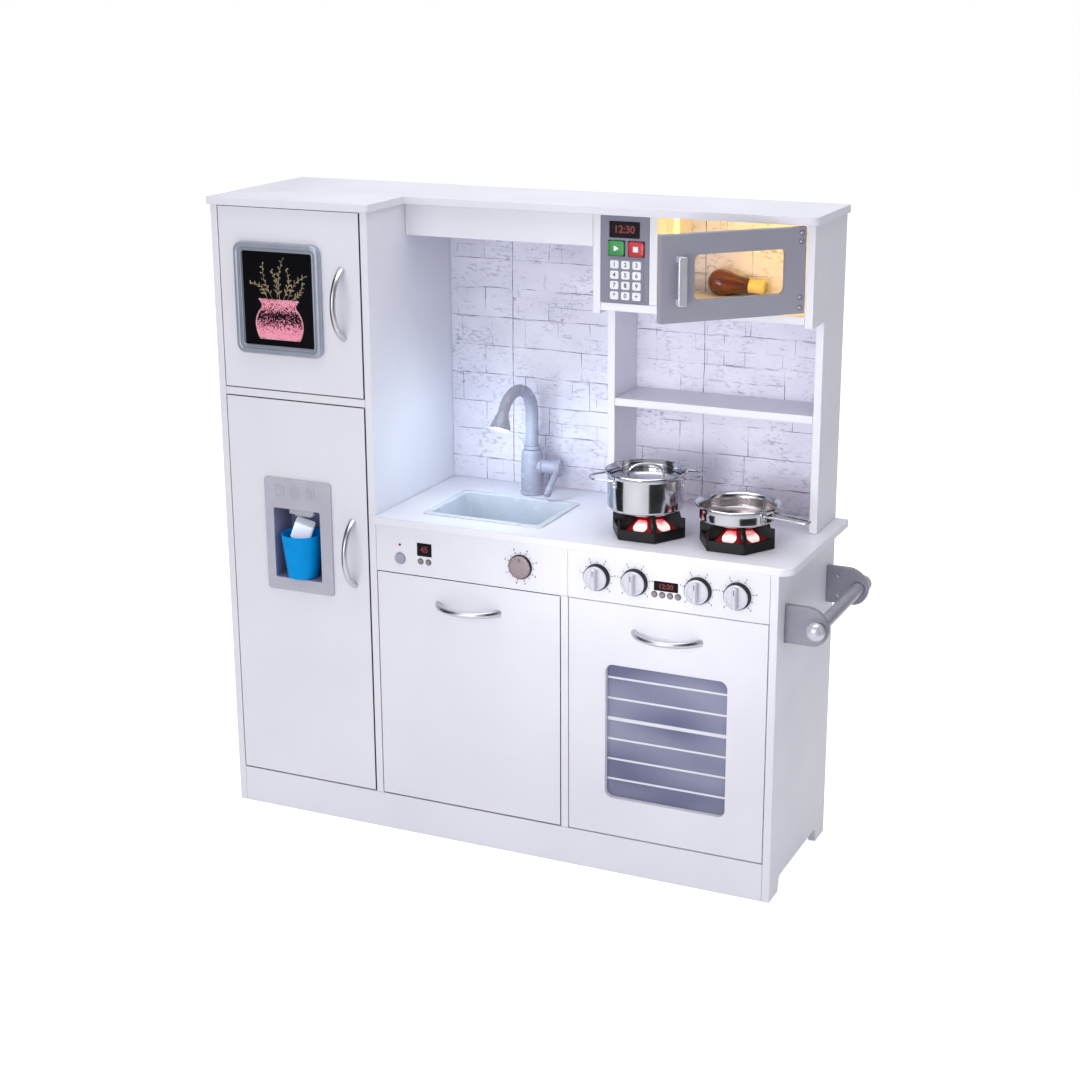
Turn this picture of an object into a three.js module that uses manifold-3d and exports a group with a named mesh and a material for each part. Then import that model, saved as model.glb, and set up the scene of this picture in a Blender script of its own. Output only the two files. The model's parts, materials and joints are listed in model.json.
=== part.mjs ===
// Toy kitchen: fridge-freezer, dishwasher, oven, sink, hob and microwave in one painted cabinet.
//
// X runs from the fridge's outer side to the right, Y from the door fronts to the back and Z up from
// the floor.
// The finished group is moved at the end, so that its origin is the middle of its footprint on the floor.
import * as THREE from 'three';
import { mergeVertices } from 'three/addons/utils/BufferGeometryUtils.js';
import Module from 'manifold-3d';

const wasm = await Module();
wasm.setup();

// ---------------------------------------------------------------- driving dimensions, in millimetres

const BOARD = 12; // thickness of every board
const GAP = 0.3; // clearance between pieces that touch
const REVEAL = 1.2; // visible gap round an inset door

const CABINET = { width: 925, depth: 275, height: 1000 };
const FRIDGE_BAY = 250; // clear widths between the upright boards
const SINK_BAY = 313;

const PARTITION_X = BOARD + FRIDGE_BAY; // left faces of the upright boards
const SINK_X = PARTITION_X + BOARD;
const DIVIDER_X = SINK_X + SINK_BAY;
const OVEN_X = DIVIDER_X + BOARD;
const RIGHT_X = CABINET.width - BOARD;

const BACK_Y = 266; // front face of the thin back panels
const BACK_PANEL = 3;
const PLINTH_TOP = 60;
const FOOT = { front: 41, rear: 43, arch: 24, slant: 5, radius: 8 };

const FREEZER_SHELF_Z = 692.5; // undersides of the shelves
const OVEN_SHELF = { front: 30, bottom: 237.5, thickness: 6 };
const HUTCH_SHELF_Z = 690;

const COUNTER = { bottom: 511.5, front: -7, right: 946, rear: 276, corner: 22 };
const COUNTER_TOP = COUNTER.bottom + BOARD;
const FASCIA_BOTTOM = 435.8;

const HUTCH_FRONT = 118.6; // the upper half stands back from the door fronts
const HUTCH_NARROW_FRONT = 176; // its uprights are narrower below the microwave
const HUTCH_STEP_Z = 841.5;
const HEADER_Z = 940;
const TOP_BOTTOM = CABINET.height - BOARD;
const TOP = { left: -5, front: -6.5, rear: 278, notch: [278, 109], right: 930, corner: 6 };

const MICROWAVE_FLOOR_Z = 846.5;
const MICROWAVE_X = 688; // left side of the microwave's cavity
const MICROWAVE_DOOR = { width: 223.7, bottom: 863.6, top: 985.8, openDegrees: 45.7 };
const MICROWAVE_WINDOW = { from: 31.5, to: 172, bottom: 893.5, top: 956.5, radius: 8 };
const MICROWAVE_HANDLE = { at: 196.5, bottom: 888.5, top: 956.5, width: 13, depth: 15, bar: 5, post: 9 };

const LOWER_DOOR = { bottom: 62, top: 434.8 };
const FRIDGE_DOOR = { right: 259.8, bottom: 62, top: 691 };
const FREEZER_DOOR = { bottom: 706, top: 986.5 };
const OVEN_WINDOW = { left: 660, right: 852, bottom: 123.5, top: 338.5, radius: 12 };
const PANE = { thickness: 3, lap: 8 };

const HANDLE = { chord: 105, rise: 28.5, radius: 4.5, footRadius: 6.5, footDepth: 7 };
const HANDLE_PLACES = {
  freezer: [228, 848.5],
  fridge: [233, 457],
  dishwasher: [432, 393],
  oven: [757, 393],
};

const CHALKBOARD = { left: 42, right: 194, bottom: 762.5, top: 935, radius: 15 };
const CHALK_FRAME = { rim: 14, depth: 10, board: 3, innerRadius: 3 };

const DISPENSER = { left: 76.5, right: 197, bottom: 382, top: 566, flange: 4, radius: 5 };
const RECESS = { left: 92, right: 176, bottom: 403, top: 517, rear: 50, wall: 3 };
const NOZZLE = { left: 115, right: 160, front: 4, rear: 32, drop: 11 };
const CUP = { x: 131.5, y: 15, height: 72, footRadius: 24.4, rimRadius: 33.5, wall: 1.6 };

const KNOB = { radius: 20.5, depth: 11, faceRadius: 17.5, gripLength: 33, gripWidth: 8, gripDepth: 8.5 };
const KNOB_Z = 473;
const KNOB_CENTRE_X = 755.5;
const KNOB_OFFSETS = [-109.1, -49.3, 49.3, 109.1];
const SHAFT = { radius: 4, hole: 4.6, length: 16 };
const DIAL = { x: 521.5, z: 472.7, radius: 19, depth: 5.5 };
const ROUND_BUTTON = { x: 316, z: 460, radius: 8.5, proud: 3 };
const SQUARE_BUTTONS = { left: [612, 637], right: [643, 668], bottom: 928.5, top: 950.5, proud: 3 };
const BUTTON_FLANGE = { lip: 2.5, depth: 2 };
const KEYPAD = { left: 611.5, right: 667, bottom: 861.5, top: 924.5, sheet: 0.8 };
const KEYS = { columns: 3, rows: 4, pitchX: 17.6, pitchZ: 15.2, width: 13.4, height: 12, proud: 0.9 };

const SINK = { left: 335, right: 538, front: 38, rear: 187, flange: 8.5, rim: 1.8, depth: 62, wall: 2 };
const SINK_SEAT = 0.3; // how deep the worktop is recessed under the sink's flange
const FAUCET = { x: 441, y: 215.6, foot: 19, shoulder: 16.5, height: 73, leverZ: 46 };
const BOSS = { radius: 11, length: 38 };
const LEVER = { hub: 13.5, hubLength: 14, length: 58, radius: 6, dropDegrees: 38 };
const SPOUT = { radius: 10.3, riser: 58.4, bend: 44, bendDegrees: 156, turnDegrees: -6.4 };
const OUTLET = { radius: 16.5, length: 28 };

const BURNER_Y = 80.7;
const BURNER_X = { burner_left: 695, burner_right: 833.5 };
const BURNER = { radius: 58, wall: 3.5, rim: 16, post: 30, grate: 38.5, tray: 4, rib: 6, ribFrom: 15 };
const RIB_OUTER = 47; // where a grate rib's high part ends

const PAN_METAL = 1.5;
const POT = { footRadius: 50, bodyRadius: 57, rimRadius: 61.9, height: 59.4, turnDegrees: 30 };
const LID = { radius: 53, below: 14, thickness: 1.5, bead: 4, loopHalf: 26, loopRise: 21 };
const POT_SHIFT = -5.5; // the pot stands a little to the left of its burner's middle
const PAN = { footRadius: 51, bodyRadius: 56, rimRadius: 62.5, height: 25.5, turnDegrees: -16.4 };
const WIRE = 2; // radius of the wire in the pot's, the lid's and the pan's handles

const DRUMSTICK = { x: 722.8, y: 243, length: 86.6, turnDegrees: 6, tiltDegrees: 5 };

const RACK = {
  bottom: 400, top: 457.5, reach: 64.7, lowerEnd: 24, upperEnd: 33, thickness: 10, frontY: 32, rearY: 236,
};
const ROD = { x: 975, z: 427.5, radius: 9.8, ballRadius: 14, frontBallY: 19.7, rearBallY: 262 };

// ---------------------------------------------------------------- materials

function finish(color, roughness, metalness = 0) {
  return new THREE.MeshStandardMaterial({ color, roughness, metalness });
}

const WHITE = finish(0xe8e8ee, 0.45);
const STONE_PRINT = finish(0xd2d2de, 0.6);
const GREY_PAINT = finish(0x8c8c98, 0.5);
const SILVER_PLASTIC = finish(0xb9bcc6, 0.35, 0.4);
const FRAME_PLASTIC = finish(0x8f98a8, 0.4);
const DISPENSER_PLASTIC = finish(0xb4b6c0, 0.45);
const BLACK_PLASTIC = finish(0x1b1b20, 0.35);
const STEEL = finish(0xc4c6cc, 0.2, 0.9);
const CLEAR = finish(0x9a9ab4, 0.1);
const START_GREEN = finish(0x2e8b3d, 0.4);
const STOP_RED = finish(0xb01828, 0.4);
const KEY_WHITE = finish(0xe6e6e6, 0.5);
const CUP_BLUE = finish(0x0e8fdc, 0.35);
const ROAST_BROWN = finish(0xa0521e, 0.35);

// ---------------------------------------------------------------- outlines and solids

// An outline through [x, y, corner radius] corners, listed anticlockwise.
function outline(corners, steps = 4) {
  const points = [];
  corners.forEach(([x, y, radius = 0], i) => {
    const corner = new THREE.Vector2(x, y);
    if (radius === 0) {
      points.push(corner);
      return;
    }
    const before = corners[(i + corners.length - 1) % corners.length];
    const after = corners[(i + 1) % corners.length];
    const toBefore = new THREE.Vector2(before[0] - x, before[1] - y).normalize();
    const toAfter = new THREE.Vector2(after[0] - x, after[1] - y).normalize();
    const halfAngle = Math.acos(toBefore.dot(toAfter)) / 2;
    const inward = toBefore.clone().add(toAfter).normalize();
    const centre = corner.clone().addScaledVector(inward, radius / Math.sin(halfAngle));
    const start = corner.clone().addScaledVector(toBefore, radius / Math.tan(halfAngle)).sub(centre);
    const turnsLeft = toAfter.cross(toBefore) > 0 ? 1 : -1;
    const sweep = turnsLeft * (Math.PI - 2 * halfAngle);
    for (let k = 0; k <= steps; k += 1) {
      const spoke = start.clone().rotateAround(new THREE.Vector2(), (sweep * k) / steps);
      points.push(centre.clone().add(spoke));
    }
  });
  return new THREE.Shape(points);
}

function rectangle(x0, x1, y0, y1, radius = 0) {
  return outline([[x0, y0, radius], [x1, y0, radius], [x1, y1, radius], [x0, y1, radius]]);
}

function polygon(x, y, radius, sides, turn = 0) {
  const corners = Array.from({ length: sides }, (_, k) => {
    const angle = turn + (2 * Math.PI * k) / sides;
    return [x + radius * Math.cos(angle), y + radius * Math.sin(angle)];
  });
  return outline(corners);
}

function withHoles(shape, ...holes) {
  shape.holes.push(...holes);
  return shape;
}

function extrude(shape, depth) {
  return new THREE.ExtrudeGeometry(shape, { depth, bevelEnabled: false });
}

// An outline drawn in X and Z, thick from yFront to yRear.
function frontPlate(shape, yFront, yRear) {
  const turn = new THREE.Matrix4().makeRotationX(Math.PI / 2);
  return extrude(shape, yRear - yFront).applyMatrix4(turn).translate(0, yRear, 0);
}

// An outline drawn in Y and Z, thick from xLeft to xRight.
function sidePlate(shape, xLeft, xRight) {
  const [x, y, z] = [new THREE.Vector3(0, 1, 0), new THREE.Vector3(0, 0, 1), new THREE.Vector3(1, 0, 0)];
  const turn = new THREE.Matrix4().makeBasis(x, y, z);
  return extrude(shape, xRight - xLeft).applyMatrix4(turn).translate(xLeft, 0, 0);
}

// An outline drawn in X and Y, thick from zBottom to zTop.
function flatPlate(shape, zBottom, zTop) {
  return extrude(shape, zTop - zBottom).translate(0, 0, zBottom);
}

function block(x0, x1, y0, y1, z0, z1) {
  const geometry = new THREE.BoxGeometry(x1 - x0, y1 - y0, z1 - z0);
  return geometry.translate((x0 + x1) / 2, (y0 + y1) / 2, (z0 + z1) / 2);
}

// A turned solid about the Z axis, from [radius, z] points listed from the bottom.
function turned(profile, segments) {
  const points = profile.map(([radius, z]) => new THREE.Vector2(radius, z));
  return new THREE.LatheGeometry(points, segments).rotateX(Math.PI / 2);
}

// A round bar along Z.
function rod(radius, z0, z1, segments = 20) {
  return turned([[0, z0], [radius, z0], [radius, z1], [0, z1]], segments);
}

class Route extends THREE.Curve {
  constructor(at) {
    super();
    this.at = at;
  }

  getPoint(t, target = new THREE.Vector3()) {
    return target.copy(this.at(t));
  }
}

// A round tube along a route, given as a function from 0..1 to a point.
function tube(at, radius, steps, sides = 8) {
  const options = { steps, extrudePath: new Route(at), bevelEnabled: false };
  return new THREE.ExtrudeGeometry(polygon(0, 0, radius, sides), options);
}

function solid(geometry) {
  const bare = geometry.clone();
  bare.deleteAttribute('normal');
  bare.deleteAttribute('uv');
  const merged = mergeVertices(bare, 1e-4);
  const corners = merged.index.array;
  const triVerts = [];
  for (let i = 0; i < corners.length; i += 3) {
    const [a, b, c] = corners.slice(i, i + 3);
    if (a !== b && b !== c && a !== c) triVerts.push(a, b, c);
  }
  const vertProperties = Float32Array.from(merged.attributes.position.array);
  const mesh = new wasm.Mesh({ numProp: 3, vertProperties, triVerts: Uint32Array.from(triVerts) });
  return new wasm.Manifold(mesh);
}

function geometryOf(manifold) {
  const { vertProperties, triVerts } = manifold.getMesh();
  const geometry = new THREE.BufferGeometry();
  geometry.setAttribute('position', new THREE.BufferAttribute(vertProperties, 3));
  geometry.setIndex(new THREE.BufferAttribute(triVerts, 1));
  geometry.computeVertexNormals();
  return geometry;
}

function join(...geometries) {
  return geometryOf(geometries.map(solid).reduce((whole, next) => whole.add(next)));
}

function cut(geometry, ...tools) {
  return geometryOf(tools.map(solid).reduce((whole, next) => whole.subtract(next), solid(geometry)));
}

// ---------------------------------------------------------------- placing pieces

const kitchen = new THREE.Group();

function add(name, geometry, material, parent = kitchen) {
  const mesh = new THREE.Mesh(geometry, material);
  mesh.name = name;
  parent.add(mesh);
  return mesh;
}

function groupAt(x, y, z, parent = kitchen) {
  const group = new THREE.Group();
  group.position.set(x, y, z);
  parent.add(group);
  return group;
}

// A plain rectangular board between two corners, each given as [low, high] along X, Y and Z.
function board(name, x, y, z, material = WHITE) {
  const mesh = add(name, new THREE.BoxGeometry(x[1] - x[0], y[1] - y[0], z[1] - z[0]), material);
  mesh.position.set((x[0] + x[1]) / 2, (y[0] + y[1]) / 2, (z[0] + z[1]) / 2);
}

function between(low, high) {
  return [low + GAP, high - GAP];
}

const radians = THREE.MathUtils.degToRad;

// ---------------------------------------------------------------- lower cabinet and fridge column

function sidePanelOutline(top) {
  const { front, rear, arch, slant, radius } = FOOT;
  const rearFoot = CABINET.depth - rear;
  return outline([
    [0, 0],
    [front, 0],
    [front + slant, arch, radius],
    [rearFoot - slant, arch, radius],
    [rearFoot, 0],
    [CABINET.depth, 0],
    [CABINET.depth, top],
    [0, top],
  ]);
}

function addUprights() {
  const underTop = TOP_BOTTOM - GAP;
  const underCounter = COUNTER.bottom - GAP;
  const behindFront = BOARD + GAP;
  const partition = outline([
    [0, PLINTH_TOP + GAP],
    [behindFront, PLINTH_TOP + GAP],
    [behindFront, 0],
    [CABINET.depth, 0],
    [CABINET.depth, underTop],
    [0, underTop],
  ]);
  const divider = outline([
    [0, PLINTH_TOP + GAP],
    [BACK_Y - GAP, PLINTH_TOP + GAP],
    [BACK_Y - GAP, underCounter],
    [behindFront, underCounter],
    [behindFront, FASCIA_BOTTOM - GAP],
    [0, FASCIA_BOTTOM - GAP],
  ]);
  add('left_side_panel', sidePlate(sidePanelOutline(underTop), 0, BOARD), WHITE);
  add('fridge_partition', sidePlate(partition, PARTITION_X, SINK_X), WHITE);
  add('base_divider', sidePlate(divider, DIVIDER_X, OVEN_X), WHITE);
  add('base_right_panel', sidePlate(sidePanelOutline(underCounter), RIGHT_X, CABINET.width), WHITE);
}

function addBaseBoards() {
  const inside = [BOARD + GAP, BACK_Y - GAP];
  const floor = [PLINTH_TOP - BOARD, PLINTH_TOP];
  const fridgeBay = between(BOARD, PARTITION_X);
  const ovenBay = between(OVEN_X, RIGHT_X);
  board('plinth', between(BOARD, RIGHT_X), [0, BOARD], [0, PLINTH_TOP]);
  board('fridge_floor', fridgeBay, inside, floor);
  board('base_floor', between(SINK_X, RIGHT_X), inside, floor);
  board('freezer_shelf', fridgeBay, [0, BACK_Y - GAP], [FREEZER_SHELF_Z, FREEZER_SHELF_Z + BOARD]);
  const { front, bottom, thickness } = OVEN_SHELF;
  board('oven_shelf', ovenBay, [front, BACK_Y - GAP], [bottom, bottom + thickness]);
}

function addBackPanels() {
  const thickness = [BACK_Y, BACK_Y + BACK_PANEL];
  const low = PLINTH_TOP - BOARD - 8;
  board('fridge_back', between(BOARD, PARTITION_X), thickness, [low, TOP_BOTTOM - GAP]);
  board('base_back', between(SINK_X, RIGHT_X), thickness, [low, COUNTER.bottom - GAP]);
  const splash = between(COUNTER_TOP, TOP_BOTTOM);
  board('hutch_backsplash', between(SINK_X, RIGHT_X), thickness, splash, STONE_PRINT);
}

function addFascias() {
  const seam = OVEN_X - 0.5;
  const height = [FASCIA_BOTTOM, COUNTER.bottom - GAP];
  const dishwasher = withHoles(
    rectangle(SINK_X + GAP, seam - GAP / 2, ...height),
    polygon(DIAL.x, DIAL.z, SHAFT.hole, 16),
    polygon(ROUND_BUTTON.x, ROUND_BUTTON.z, ROUND_BUTTON.radius + 0.5, 24),
  );
  const knobHoles = KNOB_OFFSETS.map((offset) => polygon(KNOB_CENTRE_X + offset, KNOB_Z, SHAFT.hole, 16));
  const oven = withHoles(rectangle(seam + GAP / 2, RIGHT_X - GAP, ...height), ...knobHoles);
  add('dishwasher_fascia', frontPlate(dishwasher, 0, BOARD), WHITE);
  add('oven_fascia', frontPlate(oven, 0, BOARD), WHITE);
}

// ---------------------------------------------------------------- counter and upper cabinet

function addCountertop() {
  const { front, right, rear, corner, bottom } = COUNTER;
  const left = SINK_X + GAP;
  const lip = SINK.flange - 0.5;
  const slab = outline([[left, front], [right, front, corner], [right, rear, 4], [left, rear]]);
  const opening = rectangle(SINK.left + lip, SINK.right - lip, SINK.front + lip, SINK.rear - lip, 10);
  const plate = flatPlate(withHoles(slab, opening), bottom, COUNTER_TOP);
  const flange = [SINK.left - GAP, SINK.right + GAP, SINK.front - GAP, SINK.rear + GAP];
  const seat = flatPlate(rectangle(...flange, 7), COUNTER_TOP - SINK_SEAT, COUNTER_TOP + SINK_SEAT);
  add('countertop', cut(plate, seat), WHITE);
}

function hutchUpright(rear) {
  return outline([
    [HUTCH_NARROW_FRONT, COUNTER_TOP + GAP],
    [rear, COUNTER_TOP + GAP],
    [rear, TOP_BOTTOM - GAP],
    [HUTCH_FRONT, TOP_BOTTOM - GAP],
    [HUTCH_FRONT, HUTCH_STEP_Z],
    [HUTCH_NARROW_FRONT, HUTCH_STEP_Z],
  ]);
}

function addHutch() {
  const bay = between(OVEN_X, RIGHT_X);
  const behind = BACK_Y - GAP;
  const underTop = TOP_BOTTOM - GAP;
  const microwaveFloor = MICROWAVE_FLOOR_Z + BOARD;
  add('hutch_divider', sidePlate(hutchUpright(behind), DIVIDER_X, OVEN_X), WHITE);
  add('hutch_right_panel', sidePlate(hutchUpright(CABINET.depth), RIGHT_X, CABINET.width), WHITE);
  const depth = [HUTCH_FRONT, behind];
  const partitionX = [MICROWAVE_X - BOARD, MICROWAVE_X];
  const header = [HUTCH_FRONT, HUTCH_FRONT + BOARD];
  board('header_board', between(SINK_X, DIVIDER_X), header, [HEADER_Z, underTop]);
  board('hutch_shelf', bay, [HUTCH_NARROW_FRONT, behind], [HUTCH_SHELF_Z, HUTCH_SHELF_Z + BOARD]);
  board('microwave_floor', bay, depth, [MICROWAVE_FLOOR_Z, microwaveFloor]);
  board('microwave_partition', partitionX, depth, [microwaveFloor + GAP, underTop]);
}

function addTopBoard() {
  const { left, front, rear, notch, right, corner } = TOP;
  const shape = outline([
    [left, front, corner],
    [notch[0], front, corner],
    [notch[0], notch[1]],
    [right, notch[1], 2 * corner],
    [right, rear, corner],
    [left, rear, corner],
  ]);
  add('top_board', flatPlate(shape, TOP_BOTTOM, CABINET.height), WHITE);
}

// ---------------------------------------------------------------- microwave controls

// A rectangular push button whose hidden flange stops behind the panel.
function squareButton([x0, x1], z0, z1, front, rear) {
  const { lip, depth } = BUTTON_FLANGE;
  const cap = block(x0, x1, front - SQUARE_BUTTONS.proud, rear + GAP + 1, z0, z1);
  const flange = block(x0 - lip, x1 + lip, rear + GAP, rear + GAP + depth, z0 - lip, z1 + lip);
  return join(cap, flange);
}

function keypad() {
  const { left, right, bottom, top, sheet } = KEYPAD;
  const { columns, rows, pitchX, pitchZ, width, height, proud } = KEYS;
  const face = HUTCH_FRONT - GAP;
  const front = face - sheet - proud;
  const keys = [];
  for (let row = 0; row < rows; row += 1) {
    for (let column = 0; column < columns; column += 1) {
      const x0 = (left + right - width) / 2 + (column - (columns - 1) / 2) * pitchX;
      const z0 = (bottom + top - height) / 2 + (row - (rows - 1) / 2) * pitchZ;
      keys.push(block(x0, x0 + width, front, face - sheet / 2, z0, z0 + height));
    }
  }
  return join(block(left, right, face - sheet, face, bottom, top), ...keys);
}

function addMicrowaveControls() {
  const { left, right, bottom, top } = SQUARE_BUTTONS;
  const slack = 0.5;
  const width = between(OVEN_X, MICROWAVE_X - BOARD);
  const height = between(MICROWAVE_FLOOR_Z + BOARD, TOP_BOTTOM);
  const rear = HUTCH_FRONT + BOARD;
  const slots = [left, right].map(([x0, x1]) => (
    block(x0 - slack, x1 + slack, HUTCH_FRONT - 1, rear + 1, bottom - slack, top + slack)
  ));
  const panel = cut(frontPlate(rectangle(...width, ...height), HUTCH_FRONT, rear), ...slots);
  add('microwave_control_panel', panel, GREY_PAINT);
  add('microwave_start_button', squareButton(left, bottom, top, HUTCH_FRONT, rear), START_GREEN);
  add('microwave_stop_button', squareButton(right, bottom, top, HUTCH_FRONT, rear), STOP_RED);
  add('microwave_keypad', keypad(), KEY_WHITE);
}

// ---------------------------------------------------------------- doors

// A bow handle: its length along Z, its feet on the plane Y = 0, bowed towards -Y.
function bowHandle() {
  const { chord, rise, radius, footRadius, footDepth } = HANDLE;
  const bend = (chord * chord / 4 + rise * rise) / (2 * rise);
  const halfSweep = Math.asin(chord / 2 / bend);
  const arc = (t) => {
    const angle = (2 * t - 1) * halfSweep;
    return new THREE.Vector3(0, bend - rise - bend * Math.cos(angle), bend * Math.sin(angle));
  };
  const footAt = (side) => (
    rod(footRadius, 0, footDepth, 10).rotateX(Math.PI / 2).translate(0, 0, (side * chord) / 2)
  );
  const behindDoor = block(-footRadius, footRadius, 0, 2 * footRadius, -chord, chord);
  return cut(join(tube(arc, radius, 10), footAt(-1), footAt(1)), behindDoor).translate(0, -GAP, 0);
}

function addHandle(name, [x, z], horizontal = false) {
  const mesh = add(name, bowHandle(), STEEL);
  mesh.position.set(x, 0, z);
  mesh.rotation.y = horizontal ? Math.PI / 2 : 0;
}

function addFreezerDoor() {
  const { left, right, bottom, top, radius } = CHALKBOARD;
  const { rim, depth, board: thickness, innerRadius } = CHALK_FRAME;
  const inner = rectangle(left + rim, right - rim, bottom + rim, top - rim, innerRadius);
  const face = frontPlate(rectangle(left, right, bottom, top, radius), -depth, -GAP);
  const hollow = frontPlate(inner, -depth - 1, -thickness);
  const height = [FREEZER_DOOR.bottom, FREEZER_DOOR.top];
  board('freezer_door', [BOARD + REVEAL, FRIDGE_DOOR.right], [0, BOARD], height);
  add('chalkboard', cut(face, hollow), FRAME_PLASTIC);
  addHandle('freezer_handle', HANDLE_PLACES.freezer);
}

// The dispenser's flange, recess and nozzle are one moulding that fills a cut-out in the fridge door.
function dispenser() {
  const { left, right, bottom, top, flange, radius } = DISPENSER;
  const { wall, rear } = RECESS;
  const recess = (by) => (
    rectangle(RECESS.left - by, RECESS.right + by, RECESS.bottom - by, RECESS.top + by)
  );
  const plate = frontPlate(rectangle(left, right, bottom, top, radius), -flange, -GAP);
  const shell = frontPlate(recess(wall), -flange / 2, rear + wall);
  const hollow = frontPlate(recess(0), -flange - 1, rear);
  const nozzleHeight = [RECESS.top - NOZZLE.drop, RECESS.top + wall / 2];
  const nozzle = block(NOZZLE.left, NOZZLE.right, NOZZLE.front, NOZZLE.rear, ...nozzleHeight);
  return geometryOf(solid(cut(join(plate, shell), hollow)).add(solid(nozzle)));
}

function addFridgeDoor() {
  const margin = RECESS.wall + 0.8;
  const opening = rectangle(
    RECESS.left - margin, RECESS.right + margin, RECESS.bottom - margin, RECESS.top + margin,
  );
  const slab = rectangle(BOARD + REVEAL, FRIDGE_DOOR.right, FRIDGE_DOOR.bottom, FRIDGE_DOOR.top);
  add('fridge_door', frontPlate(withHoles(slab, opening), 0, BOARD), WHITE);
  add('dispenser_housing', dispenser(), DISPENSER_PLASTIC);
  addHandle('fridge_handle', HANDLE_PLACES.fridge);
}

// An open-topped round vessel about Z: its outline from [radius, z] points, bottom to rim, and its wall.
function vessel(outer, wall, segments) {
  const inner = outer.map(([radius, z], i) => [Math.max(radius - wall, 0), i < 2 ? z + wall : z]);
  return turned([...outer, ...inner.reverse()], segments);
}

function cup() {
  const { height, footRadius, rimRadius, wall } = CUP;
  return vessel([[0, 0], [footRadius, 0], [rimRadius, height]], wall, 24);
}

function addCup() {
  const mesh = add('cup', cup(), CUP_BLUE);
  mesh.position.set(CUP.x, CUP.y, RECESS.bottom + GAP);
}

function addDishwasherDoor() {
  const height = [LOWER_DOOR.bottom, LOWER_DOOR.top];
  board('dishwasher_door', [SINK_X + REVEAL, DIVIDER_X - REVEAL], [0, BOARD], height);
  addHandle('dishwasher_handle', HANDLE_PLACES.dishwasher, true);
}

// A slab with a window and, behind it, a rebate that seats a flush pane. Both are drawn in X and Z.
function windowSlab(slab, hole, rebate, thickness) {
  const seat = frontPlate(rebate, thickness - PANE.thickness - GAP, thickness + 1);
  return cut(frontPlate(withHoles(slab, hole), 0, thickness), seat);
}

function paneShape({ left, right, bottom, top, radius }, lap) {
  return rectangle(left - lap, right + lap, bottom - lap, top + lap, radius);
}

function addOvenDoor() {
  const { left, right, bottom, top, radius } = OVEN_WINDOW;
  const slab = rectangle(OVEN_X + REVEAL, RIGHT_X - REVEAL, LOWER_DOOR.bottom, LOWER_DOOR.top);
  const hole = rectangle(left, right, bottom, top, radius);
  const rebate = paneShape(OVEN_WINDOW, PANE.lap);
  const pane = frontPlate(paneShape(OVEN_WINDOW, PANE.lap - GAP), BOARD - PANE.thickness, BOARD);
  add('oven_door', windowSlab(slab, hole, rebate, BOARD), WHITE);
  add('oven_window', pane, CLEAR);
  addHandle('oven_handle', HANDLE_PLACES.oven, true);
}

// Drawn closed about its hinge line, with the door's free end towards -X, then swung open.
function addMicrowaveDoor() {
  const { width, bottom, top, openDegrees } = MICROWAVE_DOOR;
  const hinge = groupAt(RIGHT_X - 0.5, HUTCH_FRONT, 0);
  hinge.rotation.z = radians(openDegrees);
  const hole = {
    left: -MICROWAVE_WINDOW.to,
    right: -MICROWAVE_WINDOW.from,
    bottom: MICROWAVE_WINDOW.bottom,
    top: MICROWAVE_WINDOW.top,
    radius: MICROWAVE_WINDOW.radius,
  };
  const slab = rectangle(-width, 0, bottom, top);
  const pane = frontPlate(paneShape(hole, PANE.lap - GAP), BOARD - PANE.thickness, BOARD);
  const door = windowSlab(slab, paneShape(hole, 0), paneShape(hole, PANE.lap), BOARD);
  add('microwave_door', door, GREY_PAINT, hinge);
  add('microwave_window', pane, CLEAR, hinge);

  const handle = MICROWAVE_HANDLE;
  const [x0, x1] = [-handle.at - handle.width / 2, -handle.at + handle.width / 2];
  const front = -GAP - handle.depth;
  const bar = block(x0, x1, front, front + handle.bar, handle.bottom, handle.top);
  const posts = [handle.bottom, handle.top - handle.post].map((z) => (
    block(x0 + 2, x1 - 2, front + 1, -GAP, z, z + handle.post)
  ));
  add('microwave_handle', join(bar, ...posts), SILVER_PLASTIC, hinge);
}

// ---------------------------------------------------------------- knobs and the round button

// A knob about Z: skirt, face, grip bar and the shaft behind it.
function knob() {
  const { radius, depth, faceRadius, gripLength, gripWidth, gripDepth } = KNOB;
  const skirt = turned([
    [0, 0],
    [radius, 0],
    [radius, depth - 2],
    [faceRadius, depth],
    [0, depth],
  ], 24);
  const grip = flatPlate(rectangle(
    -gripWidth / 2, gripWidth / 2, -gripLength / 2, gripLength / 2, gripWidth / 2.2,
  ), depth - 1, depth + gripDepth);
  return join(skirt, grip, rod(SHAFT.radius, -SHAFT.length, 1, 16));
}

function dial() {
  const { radius, depth } = DIAL;
  const edge = 1.5;
  const face = turned([
    [0, 0],
    [radius, 0],
    [radius, depth - edge],
    [radius - edge, depth],
    [0, depth],
  ], 24);
  return join(face, rod(SHAFT.radius, -SHAFT.length, 1, 16));
}

function roundButton() {
  const { radius, proud } = ROUND_BUTTON;
  const { lip, depth } = BUTTON_FLANGE;
  const behind = -BOARD - GAP;
  const cap = turned([
    [0, behind - 1],
    [radius, behind - 1],
    [radius, proud - 1],
    [radius - 1, proud],
    [0, proud],
  ], 24);
  return join(cap, rod(radius + lip, behind - depth, behind, 24));
}

// Sets a control drawn about Z on the fascia, facing the front.
function addControl(name, geometry, material, x, z, clearance) {
  const mesh = add(name, geometry, material);
  mesh.rotation.x = Math.PI / 2;
  mesh.position.set(x, -clearance, z);
}

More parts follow.
